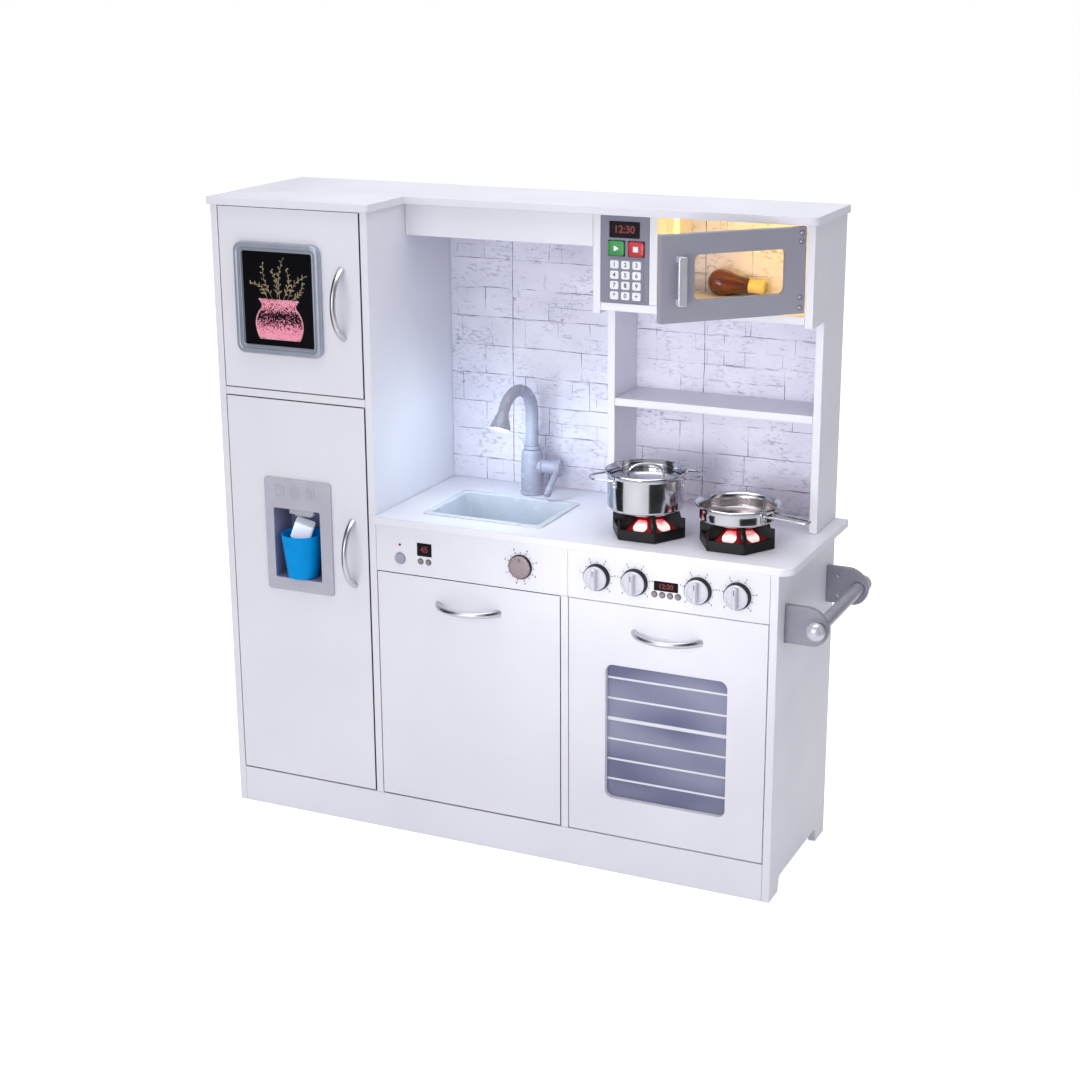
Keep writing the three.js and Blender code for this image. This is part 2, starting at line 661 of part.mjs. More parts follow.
function addControls() {
  KNOB_OFFSETS.forEach((offset, i) => {
    addControl(`oven_knob_${i + 1}`, knob(), SILVER_PLASTIC, KNOB_CENTRE_X + offset, KNOB_Z, GAP);
  });
  addControl('dishwasher_dial', dial(), SILVER_PLASTIC, DIAL.x, DIAL.z, GAP);
  addControl('dishwasher_start_button', roundButton(), KEY_WHITE, ROUND_BUTTON.x, ROUND_BUTTON.z, 0);
}

// ---------------------------------------------------------------- sink and faucet

function addSink() {
  const { left, right, front, rear, flange, rim, depth, wall } = SINK;
  const inset = (by, radius) => rectangle(left + by, right - by, front + by, rear - by, radius);
  const seat = COUNTER_TOP + GAP;
  const plate = flatPlate(inset(0, 7), seat, seat + rim);
  const bowl = flatPlate(inset(flange, 9), seat - depth, seat + 1);
  const hollow = flatPlate(inset(flange + wall, 8), seat - depth + wall, seat + rim + 1);
  add('sink_basin', cut(join(plate, bowl), hollow), STEEL);
}

function addFaucetBody(parent) {
  const { foot, shoulder, height, leverZ } = FAUCET;
  const stem = turned([
    [0, 0],
    [foot, 0],
    [foot, 4],
    [foot - 1.2, height * 0.7],
    [shoulder, height - 3],
    [shoulder - 2.5, height],
    [0, height],
  ], 24);
  const boss = rod(BOSS.radius, 0, BOSS.length, 20).rotateY(Math.PI / 2).translate(0, 0, leverZ);
  add('faucet_body', join(stem, boss), SILVER_PLASTIC, parent);
}

// The lever turns about the boss: its hub lies along X, its arm hangs towards the front.
function addFaucetLever(parent) {
  const { hub, hubLength, length, radius, dropDegrees } = LEVER;
  const pivot = groupAt(BOSS.length + GAP, 0, FAUCET.leverZ, parent);
  const disc = rod(hub, 0, hubLength, 20).rotateY(Math.PI / 2);
  const arm = turned([
    [0, 0],
    [radius - 1, 0],
    [radius, length - radius],
    [radius * 0.7, length - radius * 0.3],
    [0, length],
  ], 14);
  arm.rotateX(Math.PI / 2 + radians(dropDegrees)).translate(hubLength / 2, 0, 0);
  add('faucet_lever', join(disc, arm), SILVER_PLASTIC, pivot);
}

// A riser, a bent neck and a flared outlet that goes on from the neck's end, down over the bowl.
function addFaucetSpout(parent) {
  const { radius, riser, bend, bendDegrees, turnDegrees } = SPOUT;
  const sweep = radians(bendDegrees);
  const straight = riser / (riser + sweep * bend);
  const onBend = (angle) => (
    new THREE.Vector3(0, bend * Math.cos(angle) - bend, riser + bend * Math.sin(angle))
  );
  const neck = (t) => {
    if (t < straight) return new THREE.Vector3(0, 0, (riser * t) / straight);
    return onBend((sweep * (t - straight)) / (1 - straight));
  };
  const swivel = groupAt(0, 0, FAUCET.height + GAP, parent);
  swivel.rotation.z = radians(turnDegrees);
  const outlet = turned([
    [0, 0],
    [OUTLET.radius, 0],
    [OUTLET.radius - 1, OUTLET.length * 0.25],
    [radius, OUTLET.length],
    [0, OUTLET.length],
  ], 16);
  const end = onBend(sweep);
  outlet.translate(0, 0, -OUTLET.length).rotateX(sweep - Math.PI).translate(end.x, end.y, end.z);
  add('faucet_spout', join(tube(neck, radius, 18, 10), outlet), SILVER_PLASTIC, swivel);
}

function addFaucet() {
  const stand = groupAt(FAUCET.x, FAUCET.y, COUNTER_TOP + GAP);
  addFaucetBody(stand);
  addFaucetLever(stand);
  addFaucetSpout(stand);
}

// ---------------------------------------------------------------- hob

// A six-sided tray with a post at each corner and a rib from each post that carries the pan.
function burner() {
  const { radius, wall, rim, post, grate, tray, rib, ribFrom } = BURNER;
  const hexagon = (size) => polygon(0, 0, size, 6);
  const ring = withHoles(hexagon(radius), hexagon(radius - wall));
  const parts = [flatPlate(hexagon(radius), 0, tray), flatPlate(ring, tray / 2, rim)];
  for (let k = 0; k < 6; k += 1) {
    const side = outline([
      [ribFrom, tray / 2],
      [radius - 1, tray / 2],
      [radius - 1, post],
      [RIB_OUTER + 3, post],
      [RIB_OUTER, grate],
      [ribFrom, grate],
    ]);
    const upright = frontPlate(side, -rib / 2, rib / 2);
    parts.push(upright.rotateZ((Math.PI * k) / 3));
  }
  const boundary = flatPlate(hexagon(radius), -1, grate + 1);
  return geometryOf(solid(join(...parts)).intersect(solid(boundary)));
}

function addBurners() {
  Object.entries(BURNER_X).forEach(([name, x]) => {
    const mesh = add(name, burner(), BLACK_PLASTIC);
    mesh.position.set(x, BURNER_Y, COUNTER_TOP + GAP);
  });
}

// A pan's section, bottom to rim, with a rounded foot and a flared rim.
function panSection({ footRadius, bodyRadius, rimRadius, height }) {
  const corner = bodyRadius - footRadius;
  return [
    [0, 0],
    [footRadius - 2, 0],
    [footRadius + corner * 0.5, corner * 0.3],
    [bodyRadius - 0.4, corner],
    [bodyRadius, height - 4],
    [rimRadius - 1.5, height - 1.2],
    [rimRadius, height],
  ];
}

// Wire along a loop in the plane Z = height, from the vessel's wall out to a tip and back.
function sideLoop(from, to, halfWidth, height, steps = 12) {
  const path = new THREE.CatmullRomCurve3([
    new THREE.Vector3(from, -halfWidth, height),
    new THREE.Vector3(to - 6, -halfWidth * 0.45, height),
    new THREE.Vector3(to, 0, height),
    new THREE.Vector3(to - 6, halfWidth * 0.45, height),
    new THREE.Vector3(from, halfWidth, height),
  ]);
  return tube((t) => path.getPoint(t), WIRE, steps, 8);
}

// A vessel with handles: the handles are joined to the full body before it is hollowed.
function panWithHandles(shape, handles) {
  const outer = panSection(shape);
  const rim = outer[outer.length - 1];
  const full = turned([...outer, [0, rim[1]]], 28);
  const inner = outer.map(([radius, z], i) => [Math.max(radius - PAN_METAL, 0), i < 2 ? PAN_METAL : z]);
  inner[2][1] += PAN_METAL * 0.6;
  const hollow = turned([...inner, [rim[0] - PAN_METAL, rim[1] + 5], [0, rim[1] + 5]], 28);
  return cut(join(full, ...handles), hollow);
}

// The bead inside the pot that the lid rests on.
function lidLedge() {
  const [inner, outer] = [LID.radius - 2, POT.bodyRadius - PAN_METAL / 2];
  const top = POT.height - LID.below - GAP;
  const bottom = top - LID.bead;
  return turned([[inner, top - 1], [outer, bottom], [outer, top], [inner, top], [inner, top - 1]], 28);
}

function addPot() {
  const { bodyRadius, rimRadius, height, turnDegrees } = POT;
  const x = BURNER_X.burner_left + POT_SHIFT;
  const stand = groupAt(x, BURNER_Y, COUNTER_TOP + BURNER.grate + 2 * GAP);
  stand.rotation.z = radians(turnDegrees);
  const loop = sideLoop(bodyRadius - 16, rimRadius + 22, 26, height - 9.5);
  const handles = [loop, loop.clone().rotateZ(Math.PI)];
  add('pot', join(panWithHandles(POT, handles), lidLedge()), STEEL, stand);
  addLid(stand);
}

function addLid(stand) {
  const { radius, below, thickness, loopHalf, loopRise } = LID;
  const level = POT.height - below;
  const disc = turned([
    [0, 0],
    [radius - 1, 0],
    [radius, thickness],
    [radius * 0.5, thickness + 1.5],
    [0, thickness + 2],
  ], 28);
  const arch = (t) => {
    const angle = Math.PI * t;
    return new THREE.Vector3(loopHalf * Math.cos(angle), 0, loopRise * Math.sin(angle) ** 0.6 + 1);
  };
  const loop = tube(arch, WIRE, 12, 8).rotateZ(radians(-8));
  const underside = flatPlate(polygon(0, 0, radius, 16), -8, 0);
  const lid = geometryOf(solid(join(disc, loop)).subtract(solid(underside)));
  const mesh = add('pot_lid', lid, STEEL, stand);
  mesh.position.z = level;
}

function addPan() {
  const { bodyRadius, rimRadius, height, turnDegrees } = PAN;
  const stand = groupAt(BURNER_X.burner_right, BURNER_Y, COUNTER_TOP + BURNER.grate + 2 * GAP);
  stand.rotation.z = radians(turnDegrees);
  const handle = sideLoop(bodyRadius - 14, rimRadius + 60, 13, height - 9.5, 18);
  add('pan', panWithHandles(PAN, [handle]), STEEL, stand);
}

// ---------------------------------------------------------------- play food and towel rack

// A drumstick lying on its side: a thick rounded end that narrows to a bone.
function addDrumstick() {
  const { x, y, length, turnDegrees, tiltDegrees } = DRUMSTICK;
  const profile = [
    [0, 0],
    [9, 1.5],
    [15.5, 6.5],
    [19, 15],
    [19.4, 23],
    [17.5, 33],
    [14.2, 44],
    [11.4, 54],
    [10.6, 62.5],
    [12.2, 63.5],
    [11.8, 76],
    [12.6, 83],
    [9, length],
    [0, length],
  ];
  const mesh = add('drumstick', turned(profile, 16).rotateY(Math.PI / 2), ROAST_BROWN);
  mesh.rotation.set(0, radians(tiltDegrees), radians(turnDegrees), 'ZYX');
  mesh.position.set(x, y, MICROWAVE_FLOOR_Z + BOARD + GAP + 21.2);
}

function bracket() {
  const { bottom, top, reach, lowerEnd, upperEnd, thickness } = RACK;
  const left = CABINET.width + GAP;
  const shape = outline([
    [left, bottom],
    [left + reach, bottom, lowerEnd],
    [left + reach, top, upperEnd],
    [left, top],
  ], 8);
  const hole = polygon(ROD.x, ROD.z, ROD.radius + 0.4, 20);
  return frontPlate(withHoles(shape, hole), 0, thickness);
}

function addTowelRack() {
  const front = add('towel_bracket_front', bracket(), GREY_PAINT);
  front.position.y = RACK.frontY;
  const rear = add('towel_bracket_rear', bracket(), GREY_PAINT);
  rear.position.y = RACK.rearY;
  const { x, z, radius, ballRadius, frontBallY, rearBallY } = ROD;
  const ballAt = (along) => (
    new THREE.SphereGeometry(ballRadius, 14, 8).scale(1, 1, 0.85).translate(0, 0, along)
  );
  const length = rearBallY - frontBallY;
  const bar = join(rod(radius, 0, length), ballAt(0), ballAt(length));
  const mesh = add('towel_rod', bar, SILVER_PLASTIC);
  mesh.rotation.x = -Math.PI / 2;
  mesh.position.set(x, frontBallY, z);
}

// ---------------------------------------------------------------- the whole kitchen

addUprights();
addBaseBoards();
addBackPanels();
addFascias();
addCountertop();
addHutch();
addTopBoard();
addMicrowaveControls();
addFreezerDoor();
addFridgeDoor();
addCup();
addDishwasherDoor();
addOvenDoor();
addMicrowaveDoor();
addControls();
addSink();
addFaucet();
addBurners();
addPot();
addPan();
addDrumstick();
addTowelRack();

const extent = new THREE.Box3().setFromObject(kitchen, true);
const middle = extent.getCenter(new THREE.Vector3());
kitchen.position.set(-middle.x, -middle.y, -extent.min.z);

export default kitchen;
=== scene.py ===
# Toy kitchen: how every piece looks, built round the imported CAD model.
#
# Lengths are in millimetres in the cabinet's own frame: X from the fridge's outer side to the right, Y from
# the door fronts to the back and Z up from the floor. piece() turns them into the row frame's metres.
import json
from math import asin, atan2, cos, pi, radians, sin, sqrt

import bmesh
import bpy
from mathutils import Matrix, Vector
from mathutils.geometry import tessellate_polygon


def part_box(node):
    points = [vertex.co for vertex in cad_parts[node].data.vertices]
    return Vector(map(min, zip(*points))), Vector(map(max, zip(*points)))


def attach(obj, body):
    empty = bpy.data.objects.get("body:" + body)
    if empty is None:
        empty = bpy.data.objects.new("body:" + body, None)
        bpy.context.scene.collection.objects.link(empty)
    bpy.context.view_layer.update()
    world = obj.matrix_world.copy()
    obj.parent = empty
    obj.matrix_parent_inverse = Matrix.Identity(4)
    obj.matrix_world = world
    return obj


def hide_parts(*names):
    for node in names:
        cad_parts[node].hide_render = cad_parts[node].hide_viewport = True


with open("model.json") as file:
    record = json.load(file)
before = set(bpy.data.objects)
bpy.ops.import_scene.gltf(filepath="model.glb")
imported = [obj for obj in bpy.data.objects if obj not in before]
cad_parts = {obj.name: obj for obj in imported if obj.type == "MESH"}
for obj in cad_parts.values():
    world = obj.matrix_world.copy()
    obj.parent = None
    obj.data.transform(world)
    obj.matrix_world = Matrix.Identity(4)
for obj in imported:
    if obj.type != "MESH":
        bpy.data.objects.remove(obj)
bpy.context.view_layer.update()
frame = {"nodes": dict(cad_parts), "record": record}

MM = 0.001
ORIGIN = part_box("left_side_panel")[0]
BODY_OF = {n: b for b, nodes in frame["record"]["behaviour"]["bodies"].items() for n in nodes}
UP = Vector((0, 0, 1))


def span(node):
    """Lowest and highest corner of a CAD node, in the cabinet's millimetres."""
    low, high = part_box(node)
    return (Vector(low) - ORIGIN) / MM, (Vector(high) - ORIGIN) / MM


def middle(node):
    low, high = span(node)
    return (low + high) / 2


# ---------- materials


def rgb(code):
    """A colour such as #d8d8e6 as the linear values that shaders take."""
    parts = [int(code[i : i + 2], 16) / 255 for i in (1, 3, 5)]
    return tuple(c / 12.92 if c <= 0.04045 else ((c + 0.055) / 1.055) ** 2.4 for c in parts) + (1.0,)


class Look:
    """A procedural material: one Principled shader and the nodes that feed it."""

    def __init__(self, name, color, roughness, **sockets):
        self.material = bpy.data.materials.new(name)
        self.material.use_nodes = True
        self.tree = self.material.node_tree
        self.shader = self.tree.nodes["Principled BSDF"]
        self.color = rgb(color)
        self.set("Base Color", self.color)
        self.set("Roughness", roughness)
        for socket, value in sockets.items():
            self.set(socket.replace("_", " "), value)
        self.place = self.node("ShaderNodeTexCoord").outputs["Object"]

    def set(self, socket, value):
        self.join(self.shader, socket, value)

    def join(self, node, socket, value):
        """Sets a socket to a value, or links an output to it."""
        if isinstance(value, bpy.types.NodeSocket):
            self.tree.links.new(value, node.inputs[socket])
        else:
            node.inputs[socket].default_value = value

    def node(self, kind, inputs=(), **settings):
        made = self.tree.nodes.new(kind)
        for setting, value in settings.items():
            setattr(made, setting, value)
        for socket, value in dict(inputs).items():
            self.join(made, socket, value)
        return made

    def noise(self, scale, detail=3.0, stretch=(1, 1, 1)):
        moved = self.node("ShaderNodeMapping", {"Vector": self.place, "Scale": stretch})
        inputs = {"Vector": moved.outputs[0], "Scale": scale, "Detail": detail}
        return self.node("ShaderNodeTexNoise", inputs).outputs["Fac"]

    def between(self, value, low, high, start=0.3, end=0.7):
        """A number that goes from low to high as value goes from start to end."""
        inputs = {"Value": value, "From Min": start, "From Max": end, "To Min": low, "To Max": high}
        return self.node("ShaderNodeMapRange", inputs).outputs[0]

    def math(self, operation, a, b=0.0):
        return self.node("ShaderNodeMath", {0: a, 1: b}, operation=operation).outputs[0]

    def blend(self, share, a, b):
        """Colour a where share is 0 and colour b where it is 1."""
        made = self.node("ShaderNodeMix", data_type="RGBA")
        for socket, value in ((0, share), (6, a), (7, b)):
            self.join(made, socket, rgb(value) if isinstance(value, str) else value)
        return made.outputs[2]

    def bump(self, height, strength, distance=0.0004):
        inputs = {"Height": height, "Strength": strength, "Distance": distance}
        self.set("Normal", self.node("ShaderNodeBump", inputs).outputs[0])

    def mottle(self, darker, scale):
        """Lets the colour wander towards a second one."""
        share = self.between(self.noise(scale, 4.0), 0.0, 1.0, 0.35, 0.7)
        self.set("Base Color", self.blend(share, self.color, darker))

    def uneven_gloss(self, low, high, scale):
        self.set("Roughness", self.between(self.noise(scale, 4.0), low, high))


def painted(name, color, darker):
    """Sprayed satin paint on board: a faint orange peel and a slightly cloudy gloss."""
    look = Look(name, color, 0.45, Specular_IOR_Level=0.4)
    look.mottle(darker, 5.0)
    look.uneven_gloss(0.38, 0.5, 11.0)
    look.bump(look.noise(650.0, 2.0), 0.05, 0.0003)
    return look.material


def moulded(name, color, darker, roughness, grain=0.06, **sockets):
    """Injection-moulded plastic: a fine spark-eroded grain and small changes of tone."""
    look = Look(name, color, roughness, **sockets)
    look.mottle(darker, 30.0)
    look.uneven_gloss(roughness * 0.85, roughness * 1.15, 60.0)
    look.bump(look.noise(2400.0, 2.0), grain, 0.0002)
    return look.material


def steel(name, color, roughness, stretch, strength=0.04):
    """Stainless steel with fine brush lines along the axes that stretch leaves short."""
    look = Look(name, color, roughness, Metallic=1.0)
    lines = look.noise(900.0, 3.0, stretch)
    smears = look.noise(25.0, 3.0)
    spread = look.math("ADD", look.between(lines, 0.0, 0.05), look.between(smears, -0.02, 0.04))
    look.set("Roughness", look.math("ADD", spread, roughness))
    look.bump(lines, strength, 0.0001)
    return look.material


def stone_print():
    """A matte print of whitewashed stone: long blocks, thin broken joints, stains and fine wrinkles."""
    look = Look("stone_print", "#dcdcec", 0.55, Specular_IOR_Level=0.3)

    def vector(operation, a, b, socket=1):
        return look.node("ShaderNodeVectorMath", {0: a, socket: b}, operation=operation).outputs[0]

    wobble = look.node("ShaderNodeTexNoise", {"Vector": look.place, "Scale": 16.0, "Detail": 5.0})
    shift = vector("SUBTRACT", wobble.outputs["Color"], (0.5, 0.5, 0.5))
    moved = vector("ADD", look.place, vector("SCALE", shift, 0.005, "Scale"))
    axes = look.node("ShaderNodeSeparateXYZ", {0: moved})
    flat = look.node("ShaderNodeCombineXYZ", {0: axes.outputs["X"], 1: axes.outputs["Z"]}).outputs[0]

    def blocks(width, height, joint, offset, squash):
        inputs = {
            "Vector": flat,
            "Color1": rgb("#000000"),
            "Color2": rgb("#ffffff"),
            "Mortar": rgb("#888888"),
            "Scale": 1.0,
            "Mortar Size": joint,
            "Mortar Smooth": 0.5,
            "Brick Width": width,
            "Row Height": height,
        }
        made = look.node("ShaderNodeTexBrick", inputs, offset=offset, squash=squash, squash_frequency=3)
        return made.outputs["Color"], made.outputs["Fac"]

    def patches(scale, start, end, low=0.0, high=1.0, stretch=(1, 1, 1)):
        return look.between(look.noise(scale, 4.0, stretch), low, high, start, end)

    tone, joints = blocks(0.112, 0.0467, 0.0007, 0.37, 1.5)
    small_joints = blocks(0.061, 0.0233, 0.0006, 0.29, 1.9)[1]
    stone = look.blend(patches(9.0, 0.3, 0.7, stretch=(1, 1, 1.6)), "#e9e9f7", "#d6d6e7")
    stone = look.blend(look.math("MULTIPLY", tone, 0.2), stone, "#c0bfd4")
    blotch = look.math("MULTIPLY", patches(110.0, 0.5, 0.72, stretch=(1, 1, 2.0)), patches(20.0, 0.45, 0.7))
    stone = look.blend(look.math("MULTIPLY", blotch, 0.95), stone, "#8986a4")
    wrinkles = ((23.0, 7.0, 4.2, 0.007, 0.53), (52.0, 5.0, 3.0, 0.010, 0.57))
    for scale, detail, stretch, width, start in wrinkles:
        grain = look.noise(scale, detail, (1, 1, stretch))
        away = look.math("ABSOLUTE", look.math("SUBTRACT", grain, 0.5))
        wrinkle = look.between(away, 1.0, 0.0, 0.0, width)
        shown = look.math("MULTIPLY", wrinkle, patches(scale * 0.8, start, start + 0.08, 0.0, 0.8))
        stone = look.blend(shown, stone, "#46445d")
    halves = look.math("MULTIPLY", look.between(tone, 0.0, 0.75, 0.52, 0.54), patches(37.0, 0.44, 0.6))
    stone = look.blend(look.math("MULTIPLY", small_joints, halves), stone, "#67657e")
    stone = look.blend(look.math("MULTIPLY", joints, patches(27.0, 0.42, 0.6, 0.08)), stone, "#4b4962")
    for seam in (0.385, 0.710):
        away = look.math("ABSOLUTE", look.math("SUBTRACT", axes.outputs["X"], seam))
        line = look.between(away, 1.0, 0.0, 0.0004, 0.001)
        stone = look.blend(look.math("MULTIPLY", line, patches(45.0, 0.3, 0.6, 0.35)), stone, "#55536c")
    look.set("Base Color", stone)
    look.bump(look.noise(650.0, 2.0), 0.03, 0.0003)
    return look.material


def chalk(name, color, dark):
    """Chalk dragged over a board: the dark board shows through its grain."""
    look = Look(name, color, 0.95, Specular_IOR_Level=0.1)
    grain = look.between(look.noise(1300.0, 6.0), 0.0, 1.0, 0.38, 0.56)
    worn = look.between(look.noise(70.0, 4.0), 0.0, 0.55, 0.45, 0.7)
    share = look.math("SUBTRACT", grain, worn)
    look.set("Base Color", look.blend(share, dark, color))
    look.bump(grain, 0.4, 0.0002)
    return look.material


def rubbed_chalk(name, color, low, high):
    """Chalk rubbed thin a little above the middle of two heights, in metres, and thick at both."""
    look = Look(name, color, 0.95, Specular_IOR_Level=0.1)
    height = look.node("ShaderNodeSeparateXYZ", {0: look.place}).outputs["Z"]
    thinnest = low + (high - low) * 0.58
    away = look.math("ABSOLUTE", look.math("SUBTRACT", height, thinnest))
    thick = look.between(away, -0.16, 0.16, 0.0, (high - low) * 0.5)
    grain = look.math("ADD", look.noise(520.0, 6.0), thick)
    look.set("Base Color", look.blend(look.between(grain, 0.0, 1.0, 0.42, 0.56), "#150d14", color))
    look.bump(grain, 0.3, 0.0002)
    return look.material


def chalk_slate():
    look = Look("chalk_slate", "#05050b", 0.7, Specular_IOR_Level=0.08)
    dust = look.between(look.noise(14.0, 9.0, (1, 1, 0.6)), 0.0, 0.5, 0.5, 0.85)
    look.set("Base Color", look.blend(dust, "#06060d", "#16161f"))
    look.bump(look.noise(1800.0, 3.0), 0.12, 0.0002)
    return look.material


def glowing(name, color, glow, strength):
    look = Look(name, color, 0.4)
    soft = look.noise(90.0, 3.0)
    look.set("Emission Color", look.blend(look.between(soft, 0.0, 1.0), glow, color))
    look.set("Emission Strength", strength)
    return look.material


def lit_facet():
    """The face over a hob lamp: white in the middle of its height and red towards its ends."""
    look = Look("lamp_facet", "#fff0ea", 0.4)
    lamp_height = 0.542
    height = look.node("ShaderNodeSeparateXYZ", {0: look.place}).outputs["Z"]
    away = look.math("ABSOLUTE", look.math("SUBTRACT", height, lamp_height))
    rough = look.math("ADD", away, look.between(look.noise(160.0, 3.0), -0.002, 0.002))
    glow = look.blend(look.between(rough, 0.0, 1.0, 0.001, 0.0085), "#fff1ec", "#d8303c")
    look.set("Base Color", glow)
    look.set("Emission Color", glow)
    look.set("Emission Strength", 0.75)
    return look.material


def clear_pane(name, color, roughness, transmission, sheen=None):
    """Acrylic with the faintest haze, and at most broad slanting patches of a paler colour: a painted sheen.
    """
    look = Look(name, color, roughness, Transmission_Weight=transmission, IOR=1.12)
    if sheen:
        # Paler slanting patches in the base colour: painted sheen.
        patches = look.between(look.noise(5.5, 1.0, (1, 1, 2.2)), 0.0, 0.8, 0.42, 0.66)
        look.set("Base Color", look.blend(patches, look.color, sheen))
    look.uneven_gloss(roughness * 0.6, roughness * 1.5, 20.0)
    look.bump(look.noise(30.0, 2.0), 0.02, 0.0005)
    return look.material


def roast():
    look = Look("roast_brown", "#7a3510", 0.2, Coat_Weight=0.5, Coat_Roughness=0.08)
    low = look.between(look.noise(26.0, 4.0), 0.0, 1.0)
    look.set("Base Color", look.blend(low, "#7c3612", "#4a1c08"))
    look.bump(look.noise(220.0, 3.0), 0.08, 0.0006)
    return look.material


WHITE = painted("white_paint", "#dfdfe9", "#d9d9e4")
GREY = painted("grey_paint", "#9191a0", "#898998")
PANEL_GREY = painted("panel_grey", "#7e7f92", "#77788a")
# A dark colour for the doors' narrow sides: painted shade that darkens the gaps round the doors.
GAP_SHADE_PAINT = painted("door_edge_painted_gap_shade", "#4c4852", "#423e48")
STONE = stone_print()
SILVER = moulded("silver_plastic", "#9b9db0", "#9193a8", 0.26, grain=0.02, Specular_IOR_Level=0.7)
PEARL = moulded("pearl_plastic", "#d0d1dc", "#c4c5d2", 0.2, grain=0.02, Metallic=0.4)
BRACKET = moulded("bracket_plastic", "#92919f", "#898896", 0.3, grain=0.02)
ROD_GREY = moulded("rod_plastic", "#b2b1c0", "#a5a4b4", 0.26, grain=0.02, Metallic=0.4)
FRAME_BLUE = moulded("frame_plastic", "#a7adbb", "#9ca3b3", 0.22, grain=0.015, Metallic=0.3)
DISPENSER = moulded("dispenser_plastic", "#b5b5c3", "#adadbc", 0.38, grain=0.03)
RECESS = moulded("recess_plastic", "#8386a4", "#797c9c", 0.5)
BLACK = moulded("black_plastic", "#0c0c11", "#08080c", 0.42, Specular_IOR_Level=0.3)
SOOT = moulded("printed_black", "#2c2b33", "#201f26", 0.6, grain=0.02)
INK = moulded("printed_grey", "#45434f", "#34323d", 0.6, grain=0.02)
GLASS_BLACK = moulded("display_black", "#120c14", "#190f16", 0.3, grain=0.01, Specular_IOR_Level=0.1)
KEY_WHITE = moulded("key_white", "#e4e4ea", "#dadae2", 0.4)
BRONZE = moulded("bronze_plastic", "#9d8f96", "#93858d", 0.26, Metallic=0.5)
BROWN = moulded("button_brown", "#8f8388", "#84787e", 0.3, Metallic=0.4)
BLUE = moulded("cup_blue", "#0097e2", "#008cd8", 0.4, grain=0.02, Specular_IOR_Level=0.08)
# The ice glows faintly though it holds no lamp: painted light that brightens it.
ICE = glowing("ice_white_painted_glow", "#e4ebf8", "#f6f9ff", 0.3)
START = moulded("start_green", "#2b8d42", "#24803a", 0.3)
STOP = moulded("stop_red", "#b81c2c", "#a81626", 0.3)
BONE = moulded("bone_yellow", "#e8d68c", "#dcc878", 0.35)
POLISHED = steel("polished_steel", "#cbccd2", 0.1, (0.02, 0.02, 1.0))
BRUSHED = steel("brushed_steel", "#cac4c6", 0.2, (1.0, 1.0, 0.02), 0.08)
SATIN = steel("satin_steel", "#cdced5", 0.27, (1.0, 1.0, 0.03))
BASIN = moulded("basin_steel", "#c9ced9", "#c0c6d3", 0.25, grain=0.01, Specular_IOR_Level=0.8)
ZINC = steel("zinc_screw", "#c9cad0", 0.22, (1.0, 1.0, 1.0))
SLATE = chalk_slate()
PINK_CHALK = chalk("pink_chalk", "#ffc0cf", "#8a4a60")
PINK_DUST = rubbed_chalk("pink_dust", "#f296b0", 0.79, 0.845)
SAND_CHALK = chalk("sand_chalk", "#b3a283", "#262220")
LENS_RED = glowing("lens_red", "#6e0912", "#92121c", 0.4)
FACET = lit_facet()
DIGITS = glowing("dim_digits", "#681a1e", "#882224", 0.15)
LED_WARM = glowing("led_warm", "#ffd868", "#fff0b0", 1.6)
LED_COLD = glowing("led_cold", "#c6f4ff", "#f0fdff", 6.0)
PANE = clear_pane("clear_pane", "#e4e4f2", 0.05, 1.0)
# The oven pane carries a painted sheen: paler slanting patches in its colour.
HAZY_PANE = clear_pane("hazy_pane", "#9093b6", 0.1, 0.5, "#c6c8e2")
ROAST = roast()

# ---------- mesh tools


def at(x, y, z):
    return Matrix.Translation((x, y, z))


def spin(angle, axis):
    return Matrix.Rotation(angle, 4, axis)


def facing_front(x, y, z):
    """A drawing plane on a front: its X to the right, its Y up, its Z out towards the viewer."""
    return at(x, y, z) @ spin(pi / 2, "X")


def facing_right(x, y, z):
    """The same on the cabinet's right side."""
    return at(x, y, z) @ spin(pi / 2, "Z") @ spin(pi / 2, "X")


def facing_back(x, y, z):
    return at(x, y, z) @ spin(pi, "Z") @ spin(pi / 2, "X")


def coat(bm, index):
    """Gives the faces made since the last call that material."""
    for face in bm.faces:
        if not face.tag:
            face.material_index = index
            face.tag = True


def bridge(bm, a, b):
    """Faces between two rings; a ring of one vertex is a pole."""
    count = max(len(a), len(b))
    for i in range(count):
        j = (i + 1) % count
        corners = [a[i % len(a)], a[j % len(a)], b[j % len(b)], b[i % len(b)]]
        bm.faces.new(list(dict.fromkeys(corners)))


def loft(bm, rings, matrix=Matrix(), caps="both"):
    """A skin through rings of points. Its caps are both, first, last, none, or loop to join its ends."""
    made = [[bm.verts.new(matrix @ Vector(p)) for p in ring] for ring in rings]
    for a, b in zip(made, made[1:]):
        bridge(bm, a, b)
    if caps == "loop":
        bridge(bm, made[-1], made[0])
    if caps in ("both", "first") and len(made[0]) > 2:
        bm.faces.new(made[0])
    if caps in ("both", "last") and len(made[-1]) > 2:
        bm.faces.new(made[-1])


def circle(radius, z, segments):
    if radius < 1e-6:
        return [(0, 0, z)]
    turns = [2 * pi * k / segments for k in range(segments)]
    return [(radius * cos(t), radius * sin(t), z) for t in turns]


def turned(bm, profile, segments=64, matrix=Matrix(), caps="both"):
    """A turned solid about Z through [radius, z] points, listed from the bottom."""
    loft(bm, [circle(r, z, segments) for r, z in profile], matrix, caps)


